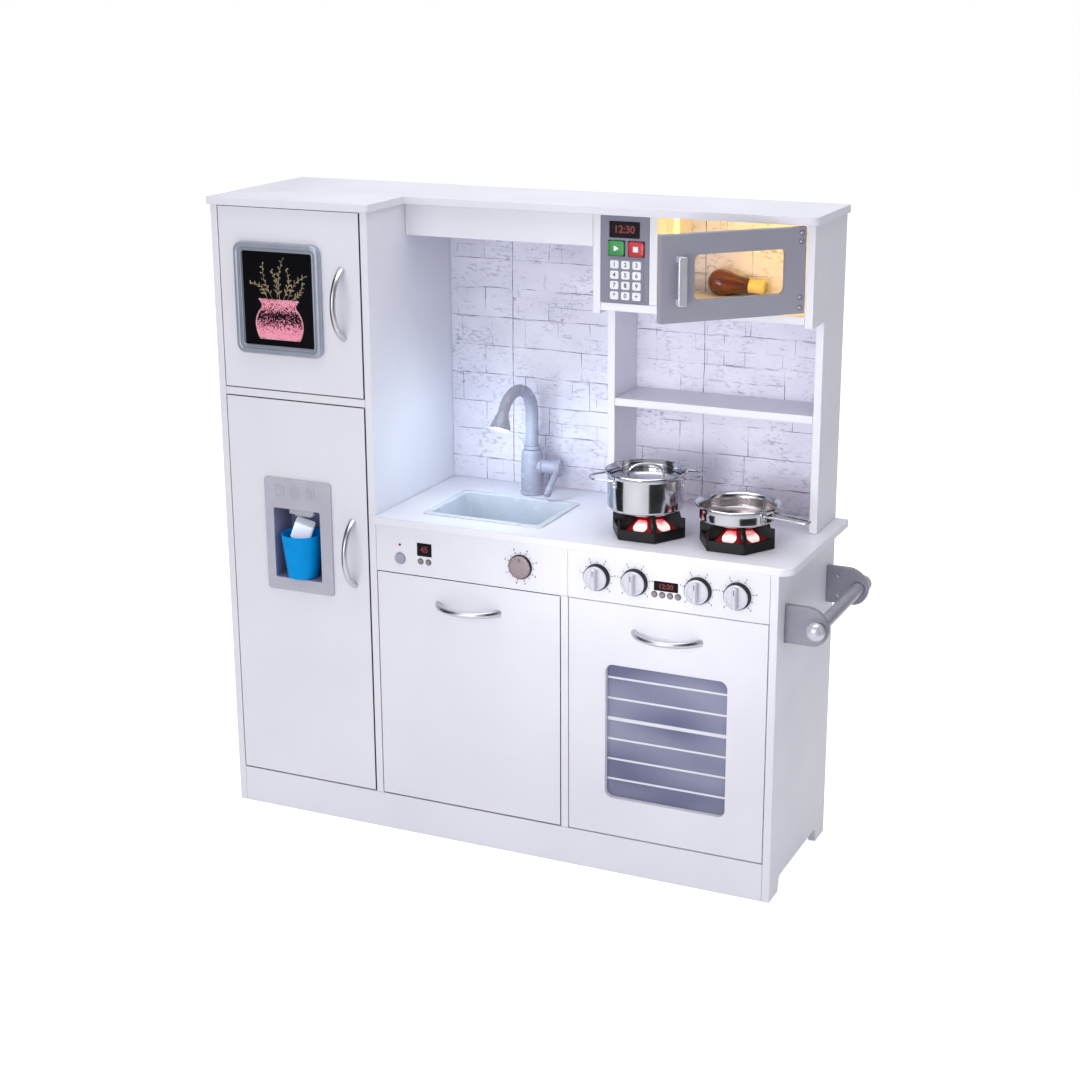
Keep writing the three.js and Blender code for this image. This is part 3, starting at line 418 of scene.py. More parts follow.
def outline(corners, steps=6):
    """Points round [x, y, radius] corners, listed anticlockwise."""
    points = []
    for i, (x, y, radius) in enumerate(corners):
        corner = Vector((x, y))
        before = (Vector(corners[i - 1][:2]) - corner).normalized()
        after = (Vector(corners[(i + 1) % len(corners)][:2]) - corner).normalized()
        half = before.angle(after) / 2
        centre = corner + (before + after).normalized() * radius / sin(half)
        first = corner + before * radius / (sin(half) / cos(half)) - centre
        sweep = pi - 2 * half
        if after.x * before.y - after.y * before.x < 0:
            sweep = -sweep
        for k in range(steps + 1):
            turn = sweep * k / steps
            spoke = (
                first.x * cos(turn) - first.y * sin(turn),
                first.x * sin(turn) + first.y * cos(turn),
            )
            points.append((centre.x + spoke[0], centre.y + spoke[1]))
    return points


def rounded(x0, x1, y0, y1, radius=0.8, steps=6):
    return outline([(x0, y0, radius), (x1, y0, radius), (x1, y1, radius), (x0, y1, radius)], steps)


def disc(x, y, radius):
    return [(x + a, y + b) for a, b, _ in circle(radius, 0, 48)]


def moved_in(points, distance):
    """The outline moved by a distance to the left of its direction, which is into the material."""
    made = []
    for i, point in enumerate(points):
        here = Vector(point)
        ahead = Vector(points[(i + 1) % len(points)]) - here
        behind = here - Vector(points[i - 1])
        normals = [Vector((-d.y, d.x)).normalized() for d in (ahead, behind)]
        mean = (normals[0] + normals[1]).normalized()
        reach = distance / max(mean.dot(normals[0]), 0.3)
        made.append(here + mean * reach)
    return made


def wound(points, anticlockwise):
    pairs = zip(points, points[1:] + points[:1])
    area = sum(a[0] * b[1] - b[0] * a[1] for a, b in pairs)
    return points if (area > 0) == anticlockwise else points[::-1]


def plate(bm, shape, low, high, edge=0.8, matrix=Matrix(), holes=(), steps=3):
    """A flat plate between two heights, with rounded edges and holes."""
    loops = [wound(shape, True)] + [wound(hole, False) for hole in holes]
    turns = [pi / 2 * k / steps for k in range(steps + 1)]
    curve = [(edge * (1 - cos(t)), edge * (1 - sin(t))) for t in turns]
    levels = [(inset, low + drop) for inset, drop in curve[::-1]]
    levels += [(inset, high - drop) for inset, drop in curve]
    ends = ([], [])
    for loop in loops:
        rings = []
        for inset, z in levels:
            points = moved_in(loop, inset)
            rings.append([bm.verts.new(matrix @ Vector((p[0], p[1], z))) for p in points])
        for a, b in zip(rings, rings[1:]):
            bridge(bm, a, b)
        ends[0].append(rings[0])
        ends[1].append(rings[-1])
    flat_loops = [[Vector((p[0], p[1], 0)) for p in moved_in(loop, edge)] for loop in loops]
    triangles = tessellate_polygon(flat_loops)
    for rings in ends:
        verts = [v for ring in rings for v in ring]
        for triangle in triangles:
            bm.faces.new([verts[i] for i in triangle])


def bar(bm, path, radii, sides=20, side=UP, matrix=Matrix(), round_ends=True):
    """A bar along a path. Each radius is (across side, along side); round ends close it."""
    points = [Vector(p) for p in path]
    rings = []
    across = side
    for i, point in enumerate(points):
        ahead = points[min(i + 1, len(points) - 1)]
        behind = points[max(i - 1, 0)]
        along = (ahead - behind).normalized()
        across = (across - along * across.dot(along)).normalized()
        other = along.cross(across)
        wide, tall = radii[i] if isinstance(radii, list) else radii
        scales = [(0.0, 1.0)]
        if round_ends and i in (0, len(points) - 1):
            steps = [(min(wide, tall) * sin(a), cos(a)) for a in (pi / 2 * k / 5 for k in range(1, 6))]
            outward = -1 if i == 0 else 1
            ends = [(outward * shift, max(scale, 0.02)) for shift, scale in steps]
            scales = ends[::-1] + scales if i == 0 else scales + ends
        for shift, scale in scales:
            centre = point + along * shift
            turns = [2 * pi * k / sides for k in range(sides)]
            rings.append([
                centre + (other * cos(t) * wide + across * sin(t) * tall) * scale for t in turns
            ])
    loft(bm, rings, matrix)


def arc(radius, start, end, steps):
    """Points (a, b) on a circle between two angles in degrees."""
    turns = [radians(start + (end - start) * k / steps) for k in range(steps + 1)]
    return [(radius * cos(t), radius * sin(t)) for t in turns]


def lettering(bm, text, size, matrix, height=0.15, bold=0.03):
    curve = bpy.data.curves.new("lettering", "FONT")
    curve.body = text
    curve.size = size
    curve.align_x = "CENTER"
    curve.align_y = "CENTER"
    curve.extrude = height / 2
    curve.offset = size * bold
    holder = bpy.data.objects.new("lettering", curve)
    mesh = bpy.data.meshes.new_from_object(holder)
    mesh.transform(matrix)
    bm.from_mesh(mesh)
    bpy.data.objects.remove(holder)
    bpy.data.meshes.remove(mesh)


def piece(name, bm, looks, *nodes, body=None, slot=None, matrix=Matrix(), smooth=32):
    """Finishes a mesh drawn in millimetres: it stands for the CAD nodes and rides on their body."""
    bmesh.ops.remove_doubles(bm, verts=bm.verts, dist=1e-3)
    bmesh.ops.recalc_face_normals(bm, faces=bm.faces)
    mesh = bpy.data.meshes.new(name)
    bm.to_mesh(mesh)
    bm.free()
    mesh.transform(Matrix.Scale(MM, 4))
    for look in looks if isinstance(looks, (list, tuple)) else [looks]:
        mesh.materials.append(look)
    mesh.shade_smooth()
    mesh.set_sharp_from_angle(angle=radians(smooth))
    made = bpy.data.objects.new(name, mesh)
    bpy.context.scene.collection.objects.link(made)
    place = matrix.copy()
    place.translation = ORIGIN + matrix.translation * MM
    made.matrix_world = place
    weights = made.modifiers.new("even_shading", "WEIGHTED_NORMAL")
    weights.keep_sharp = True
    if nodes:
        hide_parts(*nodes)
    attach(made, body or BODY_OF[nodes[0]])


def lamp(name, kind, spot, energy, color, body, size=0.01, aim=None, **settings):
    data = bpy.data.lights.new(name, kind)
    data.energy = energy
    data.color = color
    if kind == "AREA":
        data.shape = "RECTANGLE"
        data.size, data.size_y = size if isinstance(size, tuple) else (size, size)
    else:
        data.shadow_soft_size = size
    for setting, value in settings.items():
        setattr(data, setting, value)
    made = bpy.data.objects.new(name, data)
    bpy.context.scene.collection.objects.link(made)
    made.location = ORIGIN + Vector(spot) * MM
    if aim is not None:
        made.rotation_euler = (Vector(aim) - Vector(spot)).to_track_quat("-Z", "Y").to_euler()
    if body:
        made.visible_glossy = made.visible_transmission = False
        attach(made, body)


def softened(node, look, edge=0.8, door=False):
    """A board from its CAD node, with its edges rounded over. A door's narrow sides are coloured dark as
    painted shade for the gaps round it.
    """
    bm = bmesh.new()
    bm.from_mesh(frame["nodes"][node].data)
    bmesh.ops.transform(bm, matrix=Matrix.Scale(1 / MM, 4) @ Matrix.Translation(-ORIGIN), verts=bm.verts)
    bmesh.ops.remove_doubles(bm, verts=bm.verts, dist=0.01)
    bmesh.ops.dissolve_limit(bm, angle_limit=radians(1), verts=bm.verts, edges=bm.edges)
    sharp = [e for e in bm.edges if len(e.link_faces) == 2 and e.calc_face_angle(0) > radians(35)]
    bmesh.ops.bevel(bm, geom=sharp, offset=edge, segments=2, profile=0.5, affect="EDGES")
    for face in bm.faces:
        # A door's narrow sides take the dark painted gap shade.
        if door and abs(face.normal.y) < 0.5 and face.calc_area() > NARROWEST_SIDE:
            face.material_index = 1
    piece(f"{node}_board", bm, [look, GAP_SHADE_PAINT] if door else look, node)


def ring(box, radius, inset, height, steps=8):
    """A rounded rectangle, moved in by an inset, at a height."""
    x0, x1, y0, y1 = box
    shape = rounded(x0 + inset, x1 - inset, y0 + inset, y1 - inset, max(radius - inset, 0.5), steps)
    return [(x, y, height) for x, y in shape]


def grown(box, margin):
    return (box[0] - margin, box[1] + margin, box[2] - margin, box[3] + margin)


def stacked(box, radius, levels, steps=8):
    """Rings of one rounded rectangle at [inset, height] levels."""
    return [ring(box, radius, inset, height, steps) for inset, height in levels]


def quarter(edge, height, rising=True, steps=3):
    """[inset, height] levels round an edge: from the wall to the flat end at the height, or back down."""
    turns = [pi / 2 * k / steps for k in range(steps + 1)]
    levels = [(edge * (1 - cos(t)), height - edge * (1 - sin(t))) for t in turns]
    return levels if rising else levels[::-1]


def block(bm, box, low, high, radius=1.0, edge=0.6, matrix=Matrix()):
    """A box with rounded corners and edges."""
    bottom = [(inset, low + high - height) for inset, height in quarter(edge, high)][::-1]
    loft(bm, stacked(box, radius, bottom + quarter(edge, high), 5), matrix)


def smooth_path(points, steps=6):
    """A smooth curve through points."""
    made = []
    for i in range(len(points) - 1):
        p = [Vector(points[max(0, min(len(points) - 1, i + k))]) for k in (-1, 0, 1, 2)]
        for k in range(steps):
            t = k / steps
            a = p[1] * 2 + (p[2] - p[0]) * t
            b = (p[0] * 2 - p[1] * 5 + p[2] * 4 - p[3]) * t**2
            made.append((a + b + (p[1] * 3 - p[0] - p[2] * 3 + p[3]) * t**3) / 2)
    return made + [Vector(points[-1])]


# ---------- painted boards

GAP = 0.3  # clearance between touching pieces, as in the CAD part
BOARD = 12.0
NARROWEST_SIDE = 150  # square millimetres: smaller faces belong to the rounded edges

WHITE_BOARDS = """
    left_side_panel fridge_partition base_divider base_right_panel plinth fridge_floor base_floor
    freezer_shelf oven_shelf fridge_back base_back dishwasher_fascia oven_fascia hutch_divider
    hutch_right_panel header_board hutch_shelf microwave_floor microwave_partition top_board
"""
for node in WHITE_BOARDS.split():
    softened(node, WHITE)
for node in ("freezer_door", "fridge_door", "dishwasher_door"):
    softened(node, WHITE, door=True)
softened("hutch_backsplash", STONE, 0.5)
softened("microwave_control_panel", PANEL_GREY)


def counter_slab():
    low, high = span("countertop")
    sink_low, sink_high = span("sink_basin")
    lip = 8.0
    opening = rounded(sink_low.x + lip, sink_high.x - lip, sink_low.y + lip, sink_high.y - lip, 10)
    corners = [(low.x, low.y, 1), (high.x, low.y, 22), (high.x, high.y, 4), (low.x, high.y, 1)]
    bm = bmesh.new()
    plate(bm, outline(corners, 12), low.z, high.z, 1.5, holes=[opening])
    piece("countertop_slab", bm, WHITE, "countertop")


PANE_DEPTH, REBATE = 3.0, 8.0


def window_door(name, slab, window, radius, look, matrix, node):
    """A slab with a window and a rebate behind it for the pane. Heights run from the back to the front."""
    seat = grown(window, REBATE)
    bm = bmesh.new()
    edge = quarter(0.9, BOARD)
    rings = stacked(slab, 1.0, [(inset, BOARD - height) for inset, height in edge[::-1]] + edge)
    rings += stacked(window, radius, [(-i, h) for i, h in quarter(0.9, BOARD, False)])
    rings += stacked(window, radius, [(0, PANE_DEPTH + GAP)])
    rings += stacked(seat, radius, [(0, PANE_DEPTH + GAP), (0, 0)])
    loft(bm, rings, matrix, "loop")
    piece(name, bm, look, node)


def oven_front():
    low, high = span("oven_door")
    glass_low, glass_high = span("oven_window")
    lap = REBATE - GAP
    window = (glass_low.x + lap, glass_high.x - lap, glass_low.z + lap, glass_high.z - lap)
    slab = (low.x, high.x, low.z, high.z)
    place = facing_front(0, BOARD, 0)
    window_door("oven_door_slab", slab, window, 12, WHITE, place, "oven_door")
    bm = bmesh.new()
    pane = rounded(glass_low.x, glass_high.x, glass_low.z, glass_high.z, 12)
    plate(bm, pane, 0, PANE_DEPTH, 0.3, place)
    piece("oven_pane", bm, HAZY_PANE, "oven_window")
    bm = bmesh.new()
    for height in (315.5, 282.5, 249.7, 217.0, 184.5, 152.0):
        width = 5.6 if height == 249.7 else 3.2
        stripe = (window[0] + 0.5, window[1] - 0.5, height - width / 2, height + width / 2)
        block(bm, stripe, PANE_DEPTH, PANE_DEPTH + 0.25, 1.0, 0.1, place)
    piece("oven_rack_print", bm, WHITE, body="oven_door", slot="white_board")


counter_slab()
oven_front()

# ---------- door furniture


def bow_handle(node, upright):
    """A bow of bar, flatter and wider towards its ends, cut off flat on the door."""
    centre = middle(node)
    chord, rise = 105.0, 28.5
    bend = (chord**2 / 4 + rise**2) / (2 * rise)
    steps = 40
    path = [(0, bend - rise - a, b) for a, b in arc(bend, -61, 61, steps)]
    ends = [abs(2 * k / steps - 1) ** 2 for k in range(steps + 1)]
    bm = bmesh.new()
    bar(bm, path, [(4.4 - 0.8 * e, 4.3 + 2.0 * e) for e in ends], 32, Vector((1, 0, 0)), round_ends=False)
    parts = bm.verts[:] + bm.edges[:] + bm.faces[:]
    bmesh.ops.bisect_plane(bm, geom=parts, plane_co=(0, -GAP, 0), plane_no=(0, 1, 0), clear_outer=True)
    bmesh.ops.holes_fill(bm, edges=[e for e in bm.edges if e.is_boundary], sides=0)
    place = at(centre.x, 0, centre.z)
    if not upright:
        place = place @ spin(pi / 2, "Y")
    piece(f"{node}_bow", bm, SATIN, node, matrix=place, smooth=50)


bow_handle("freezer_handle", True)
bow_handle("fridge_handle", True)
bow_handle("dishwasher_handle", False)
bow_handle("oven_handle", False)


def chalkboard():
    low, high = span("chalkboard")
    box = (low.x, high.x, low.z, high.z)
    place = facing_front(0, 0, 0)
    rim, board = 14.0, 3.0
    profile = [
        (0.0, 5.0),
        (0.3, 6.6),
        (1.2, 8.2),
        (2.6, 9.3),
        (4.6, 9.9),
        (6.8, 9.8),
        (8.2, 9.2),
        (8.8, 7.6),
        (9.4, 7.6),
        (9.8, 8.6),
        (11.4, 8.7),
        (12.0, 7.0),
        (12.5, 6.9),
        (12.9, 7.4),
        (13.6, 6.6),
        (14.0, 4.2),
    ]
    bm = bmesh.new()
    rings = [ring(box, 15, 0.4, GAP, 14), ring(box, 15, 0, GAP + 0.6, 14)]
    rings += [ring(box, 15 * (1 - i / rim) + 3 * i / rim + i, i, d, 14) for i, d in profile]
    rings += [ring(box, 3 + rim, rim, board - 1.5, 14), ring(box, 3 + rim, rim - 2, GAP, 14)]
    loft(bm, rings, place, "loop")
    piece("chalkboard_frame", bm, FRAME_BLUE, "chalkboard", smooth=28)
    bm = bmesh.new()
    block(bm, grown(box, 1 - rim), GAP + 0.2, board, 3.5, 0.2, place)
    piece("chalkboard_slate", bm, SLATE, "chalkboard", slot="black_plastic")


chalkboard()


def dispenser():
    """The flange and recess in the fridge door, the nozzle, and icons for water, cubes and crushed ice."""
    low, high = span("dispenser_housing")
    flange = (low.x, high.x, low.z, high.z)
    recess = (92.0, 176.0, 403.0, 517.0)
    wall, rear, front = 3.0, 50.0, 4.0
    place = facing_front(0, 0, 0)
    shell = grown(recess, wall)
    bm = bmesh.new()
    rings = [ring(shell, 4, 0, -rear - wall), ring(shell, 4, 0, GAP), ring(flange, 5, 0, GAP)]
    rings += stacked(flange, 5, quarter(1.6, front, steps=4))
    rings += stacked(recess, 3, [(-i, h) for i, h in quarter(1.4, front, False, 4)])
    loft(bm, rings, place, "first")
    coat(bm, 0)
    inside = stacked(recess, 3, [(0, front - 1.4), (0, -rear + 3)])
    turns = (pi / 8, pi / 4, pi / 2)
    inside += stacked(recess, 3, [(3 * (1 - cos(t)), -rear + 3 * (1 - sin(t))) for t in turns])
    loft(bm, inside, place, "last")
    coat(bm, 1)
    piece("dispenser_shell", bm, [DISPENSER, RECESS], "dispenser_housing")

    bm = bmesh.new()
    block(bm, (115, 160, 4, 32), 507.5, 518.0, 3, 1.2)
    block(bm, (121, 154, 9, 27), 503.5, 508.5, 4, 1.0)
    coat(bm, 0)
    # The outlet is a real spout. Its solid black is partly painted shade, standing for the dark inside the
    # spout hole and under the nozzle.
    turned(bm, [(0, 502.0), (5.4, 502.0), (6.4, 502.6), (6.4, 504.5), (0, 504.5)], 32, at(137.5, 16, 0))
    coat(bm, 1)
    piece("dispenser_nozzle", bm, [DISPENSER, BLACK], body="fridge_door", slot="dispenser_plastic")

    bm = bmesh.new()
    face = facing_front(0, -front, 0)
    water, cubes, crushed, height = 105, 133, 161, 546
    for x in (water, cubes, crushed):
        frame_rings = [(8, 9, 3, -0.5), (7.8, 8.8, 2.8, 0.75), (6.6, 7.6, 1.8, 0.75), (6.4, 7.4, 1.6, -0.5)]
        rings = [
            [(a, b, out) for a, b in rounded(x - w, x + w, height - h, height + h, r, 5)]
            for w, h, r, out in frame_rings
        ]
        loft(bm, rings, face, "loop")
    turns = [radians(28 - 236 * k / 12) for k in range(13)]
    drop = [(0, 4.8)] + [(3 * cos(t), 3 * sin(t) - 1.3) for t in turns]
    plate(bm, [(water + x, height + z) for x, z in drop], -0.5, 0.7, 0.2, face)
    for x, z, turn in ((130.7, 544.0, 12), (135.6, 544.4, 40), (133, 549.2, -20)):
        cube = face @ at(x, z, 0) @ spin(radians(turn), "Z")
        block(bm, (-2, 2, -2, 2), -0.5, 0.7, 0.5, 0.15, cube)
    for z in (542.6, 546, 549.4):
        block(bm, (157.4, 164.6, z - 0.8, z + 0.8), -0.5, 0.7, 0.6, 0.15, face)
    piece("dispenser_icons", bm, DISPENSER, body="fridge_door", slot="dispenser_plastic")


def cup_and_ice():
    low, high = span("cup")
    centre = middle("cup")
    place = at(centre.x, centre.y, low.z)
    foot, top, height, wall = 24.4, 33.5, high.z - low.z, 1.6
    slope = (top - foot) / height
    outer = [(0, 1.6), (foot - 4, 1.6), (foot - 3, 0.2), (foot - 1.6, 0), (foot - 0.3, 0.6)]
    outer += [(foot + slope * z, z) for z in (2.2, 20, 40, 60, height - 1.0)]
    lip = [(top - 0.2, height - 0.3), (top - 0.8, height), (top - 1.4, height - 0.3)]
    inner = [(foot + slope * z - wall, z) for z in (height - 1.2, 60, 40, 20, 6)]
    bm = bmesh.new()
    turned(bm, outer + lip + inner + [(foot - wall - 2, 3.4), (0, 3.2)], 72, place)
    piece("tumbler", bm, BLUE, "cup")
    bm = bmesh.new()
    tilt = spin(radians(24), "Z") @ spin(radians(20), "Y") @ spin(radians(8), "X")
    block(bm, (-15.5, 15.5, -13.5, 13.5), -14, 14, 3.5, 2.4, at(centre.x + 2, centre.y, high.z + 5) @ tilt)
    piece("ice_block", bm, ICE, body="cup", slot="white_board")


dispenser()
cup_and_ice()

# ---------- controls


def control_place(node, lift=GAP):
    """The control's axis on the fascia: X to the right, Y up, Z out towards the viewer."""
    centre = middle(node)
    return facing_front(centre.x, -lift, centre.z)


def spindle(bm):
    """The hidden shaft of a knob, through its hole in the fascia."""
    turned(bm, [(0, -16), (3.6, -16), (4, -15.5), (4, 0.2), (0, 0.2)], 24)


def oven_knob(node):
    bm = bmesh.new()
    spindle(bm)
    turned(bm, [(0, 0), (20.2, 0), (20.5, 0.4), (20.3, 3), (19.6, 7.6), (18.6, 8.6), (0, 8.6)], 72)
    coat(bm, 0)
    cap = [(0, 8.4), (18.2, 8.4), (18.4, 9.0), (18.2, 10.0), (17.4, 10.8), (16.4, 11.0), (14.5, 10.9)]
    turned(bm, cap + [(13.8, 10.4), (0, 10.4)], 72)
    loops = [(0, 10.0), (0, 15.5), (0.5, 17.8), (1.2, 18.9), (2.2, 19.4)]
    loft(bm, stacked((-4.0, 4.0, -16.5, 16.5), 3.6, loops, 8))
    coat(bm, 1)
    block(bm, (-0.7, 0.7, 5.5, 14.0), 19.0, 19.55, 0.5, 0.1)
    coat(bm, 2)
    piece(f"{node}_body", bm, [BLACK, PEARL, INK], node, matrix=control_place(node))


for number in (1, 2, 3, 4):
    oven_knob(f"oven_knob_{number}")


def dishwasher_controls():
    bm = bmesh.new()
    spindle(bm)
    turned(bm, [(0, 0), (18.8, 0), (19, 0.4), (19, 3.0), (18.4, 3.6), (0, 3.6)], 72)
    coat(bm, 0)
    rim = [(0, 3.4), (17.4, 3.4), (17.6, 3.8), (17.5, 4.6), (17.0, 5.2), (16.4, 5.3), (15.8, 4.9)]
    turned(bm, rim + [(15.2, 4.9), (14.6, 5.3), (8, 5.5), (0, 5.5)], 72)
    coat(bm, 1)
    block(bm, (-0.8, 0.8, 8.0, 14.0), 5.2, 5.75, 0.6, 0.1)
    coat(bm, 2)
    piece("dial_body", bm, [BLACK, BRONZE, INK], "dishwasher_dial", matrix=control_place("dishwasher_dial"))
    bm = bmesh.new()
    cap = [(0, -BOARD - 1.3), (8.5, -BOARD - 1.3), (8.5, 1.8), (8.1, 2.6), (7.2, 3.0), (5.6, 2.8), (3, 2.55)]
    turned(bm, cap + [(0, 2.5)], 48)
    turned(bm, [(0, -BOARD - 2.3), (11, -BOARD - 2.3), (11, -BOARD - GAP), (0, -BOARD - GAP)], 48)
    place = control_place("dishwasher_start_button", 0)
    piece("start_button_body", bm, SILVER, "dishwasher_start_button", matrix=place)


dishwasher_controls()


def square_button(node, look, mark):
    """A cushioned cap over the hidden flange, with a raised mark on it."""
    low, high = span(node)
    centre = middle(node)
    lip, proud = 2.5, 3.0
    half_x, half_z = (high.x - low.x) / 2 - lip, (high.z - low.z) / 2 - lip
    rear = BOARD + GAP
    cap = (-half_x, half_x, -half_z, half_z)
    wide = (-half_x - lip, half_x + lip, -half_z - lip, half_z + lip)
    bm = bmesh.new()
    levels = [(0, -rear - 1)] + quarter(1.6, proud - 0.5, steps=5) + [(4, proud - 0.1), (7, proud)]
    loft(bm, stacked(cap, 4, levels))
    block(bm, wide, -rear - 2, -rear, 2, 0.3)
    coat(bm, 0)
    print_low, print_high = proud - 0.6, proud + 0.15
    if mark == "play":
        triangle = outline([(-3.4, -4.6, 0.8), (5.2, 0, 0.8), (-3.4, 4.6, 0.8)], 4)
        plate(bm, triangle, print_low, print_high, 0.15)
    else:
        block(bm, (-4, 4, -4, 4), print_low, print_high, 0.8, 0.15)
    coat(bm, 1)
    place = facing_front(centre.x, low.y + proud, centre.z)
    piece(f"{node}_cap", bm, [look, KEY_WHITE], node, matrix=place)


square_button("microwave_start_button", START, "play")
square_button("microwave_stop_button", STOP, "stop")


def keypad():
    low, high = span("microwave_keypad")
    centre = middle("microwave_keypad")
    place = facing_front(centre.x, high.y, centre.z)
    half_x, half_z = (high.x - low.x) / 2, (high.z - low.z) / 2
    labels = ("*0+", "789", "456", "123")
    bm = bmesh.new()
    block(bm, (-half_x, half_x, -half_z, half_z), 0, 0.8, 2, 0.2)
    coat(bm, 0)
    prints = []
    for row in range(4):
        for column in range(3):
            x, z = (column - 1) * 17.6, (row - 1.5) * 15.2
            key = (x - 6.7, x + 6.7, z - 6.0, z + 6.0)
            loft(bm, stacked(key, 2.6, [(0, 0.5)] + quarter(0.6, 1.6, steps=4) + [(3, 1.7)], 6))
            prints.append((labels[row][column], x, z))
    coat(bm, 1)
    piece("keypad_sheet", bm, [PANEL_GREY, KEY_WHITE], "microwave_keypad", matrix=place)
    bm = bmesh.new()
    for text, x, z in prints:
        lettering(bm, text, 9.0, at(x, z, 1.75), 0.16, 0.015)
    piece("keypad_print", bm, SOOT, body="cabinet", slot="black_plastic", matrix=place)


keypad()


def display(name, box, surface, digits, size):
    """A dark rounded window with glowing digits behind its face, on a surface at depth Y."""
    x0, x1, z0, z1 = box
    place = facing_front((x0 + x1) / 2, surface, (z0 + z1) / 2)
    half_x, half_z = (x1 - x0) / 2, (z1 - z0) / 2
    bm = bmesh.new()
    block(bm, (-half_x, half_x, -half_z, half_z), 0, 0.9, 1.2, 0.5)
    piece(f"{name}_window", bm, GLASS_BLACK, body="cabinet", slot="black_plastic", matrix=place)
    bm = bmesh.new()
    lettering(bm, digits, size, at(0, 0, 0.95), 0.12)
    piece(f"{name}_digits", bm, DIGITS, body="cabinet", slot="stop_red", matrix=place)


display("microwave_display", (613, 661, 955, 979), span("microwave_control_panel")[0].y, "12:30", 15)
display("dishwasher_display", (346, 371, 468, 489), 0, "45", 13)
display("oven_display", (736, 773.6, 464.5, 479), 0, "12:30", 10.5)


def scale_marks(bm, centre, count, radius, length, size, start, sweep):
    """Ticks round a knob, longer ones every second place, with a small number beyond each long one."""
    for k in range(count):
        turn = radians(start - sweep * k / (count - 1))
        long = k % 2 == 0
        spot = facing_front(centre.x, 0, centre.z)
        mark = spot @ spin(turn, "Z")
        end = radius + (length if long else length * 0.6)
        block(bm, (radius, end, -0.55, 0.55), 0, 0.12, 0.3, 0.04, mark)
        if long:
            reach = radius + length + size * 0.75
            lettering(bm, str(k // 2), size, spot @ at(reach * cos(turn), reach * sin(turn), 0.06), 0.12)


def fascia_details():
    """Small round buttons, the scales round the dial and knobs, and the red lamp by the start button."""
    bm = bmesh.new()
    below_dishwasher_display = [(x, 459.4) for x in (351.7, 365.2)]
    below_oven_display = [(x, 458.4) for x in (736.8, 749, 761.2, 773.5)]
    for x, z in below_dishwasher_display + below_oven_display:
        spot = facing_front(x, 0, z)
        turned(bm, [(0, 0), (4.9, 0), (4.9, 0.5), (4.4, 0.8), (0, 0.8)], 36, spot)
        coat(bm, 0)
        turned(bm, [(0, 0.7), (3.8, 0.7), (3.8, 1.1), (3.2, 1.5), (2.2, 1.3), (0, 1.25)], 36, spot)
        coat(bm, 1)
    piece("small_buttons", bm, [INK, BROWN], body="cabinet", slot="silver_plastic")
    bm = bmesh.new()
    for number in (1, 2, 3, 4):
        scale_marks(bm, middle(f"oven_knob_{number}"), 11, 21.8, 3.2, 4.2, 225, 270)
    scale_marks(bm, middle("dishwasher_dial"), 15, 20.5, 3.4, 4.6, 255, 330)
    piece("fascia_print", bm, SOOT, body="cabinet", slot="black_plastic")
    bm = bmesh.new()
    turned(bm, [(0, 0), (2.0, 0), (1.9, 0.7), (1.2, 1.1), (0, 1.2)], 28, facing_front(316, 0, 482))
    piece("start_lamp", bm, LENS_RED, body="cabinet", slot="stop_red")


fascia_details()

# ---------- microwave door


def screw(bm, place, radius):
    """A domed screw head with a cross recess drawn as four raised quarters."""
    turned(bm, [(0, 0), (radius, 0), (radius, 0.35), (radius * 0.8, 0.8), (0, 0.8)], 28, place)
    for k in range(4):
        quarter_turn = place @ spin(pi * k / 2, "Z")
        inner, outer = radius * 0.12, radius * 0.62
        plate(bm, rounded(inner, outer, inner, outer, 0.2, 3), 0.7, 1.15, 0.15, quarter_turn)


def microwave_door():
    """Drawn closed about its hinge line, then turned open as it stands at rest."""
    width, stands_open = 223.7, radians(45.7)
    hinge_x, hinge_y = 912.5, 118.6
    low, high = span("microwave_door")
    hinge = at(hinge_x, hinge_y, 0) @ spin(stands_open, "Z")
    face = hinge @ facing_front(0, BOARD, 0)
    glass_low, glass_high = span("microwave_window")
    window = (-172.0, -31.5, glass_low.z + REBATE - GAP, glass_high.z - REBATE + GAP)
    slab = (-width, 0.0, low.z, high.z)
    window_door("microwave_door_slab", slab, window, 8, GREY, face, "microwave_door")
    bm = bmesh.new()
    plate(bm, rounded(*grown(window, REBATE - GAP), 8), 0, PANE_DEPTH, 0.3, face)
    piece("microwave_pane", bm, PANE, "microwave_window")
    front = hinge @ facing_front(0, 0, 0)
    handle_low, handle_high = span("microwave_handle")
    x0, x1 = -203.0, -190.0
    bm = bmesh.new()
    block(bm, (x0, x1, handle_low.z, handle_high.z), 10.4, 15.3, 2, 1.6, front)
    for z0 in (handle_low.z, handle_high.z - 9):
        block(bm, (x0 + 2, x1 - 2, z0, z0 + 9), GAP, 11.5, 1.5, 0.4, front)
    piece("microwave_pull", bm, PEARL, "microwave_handle")
    bm = bmesh.new()
    for z in (978, 966, 887.4, 872.8):
        turned(bm, [(0, 0), (3.7, 0), (3.6, 0.35), (0, 0.35)], 28, front @ at(-8, z, 0))
        coat(bm, 1)
        screw(bm, front @ at(-8, z, 0.3), 2.7)
        coat(bm, 0)
    piece("microwave_door_screws", bm, [ZINC, INK], body="microwave_door", slot="steel")


microwave_door()

# ---------- sink and faucet


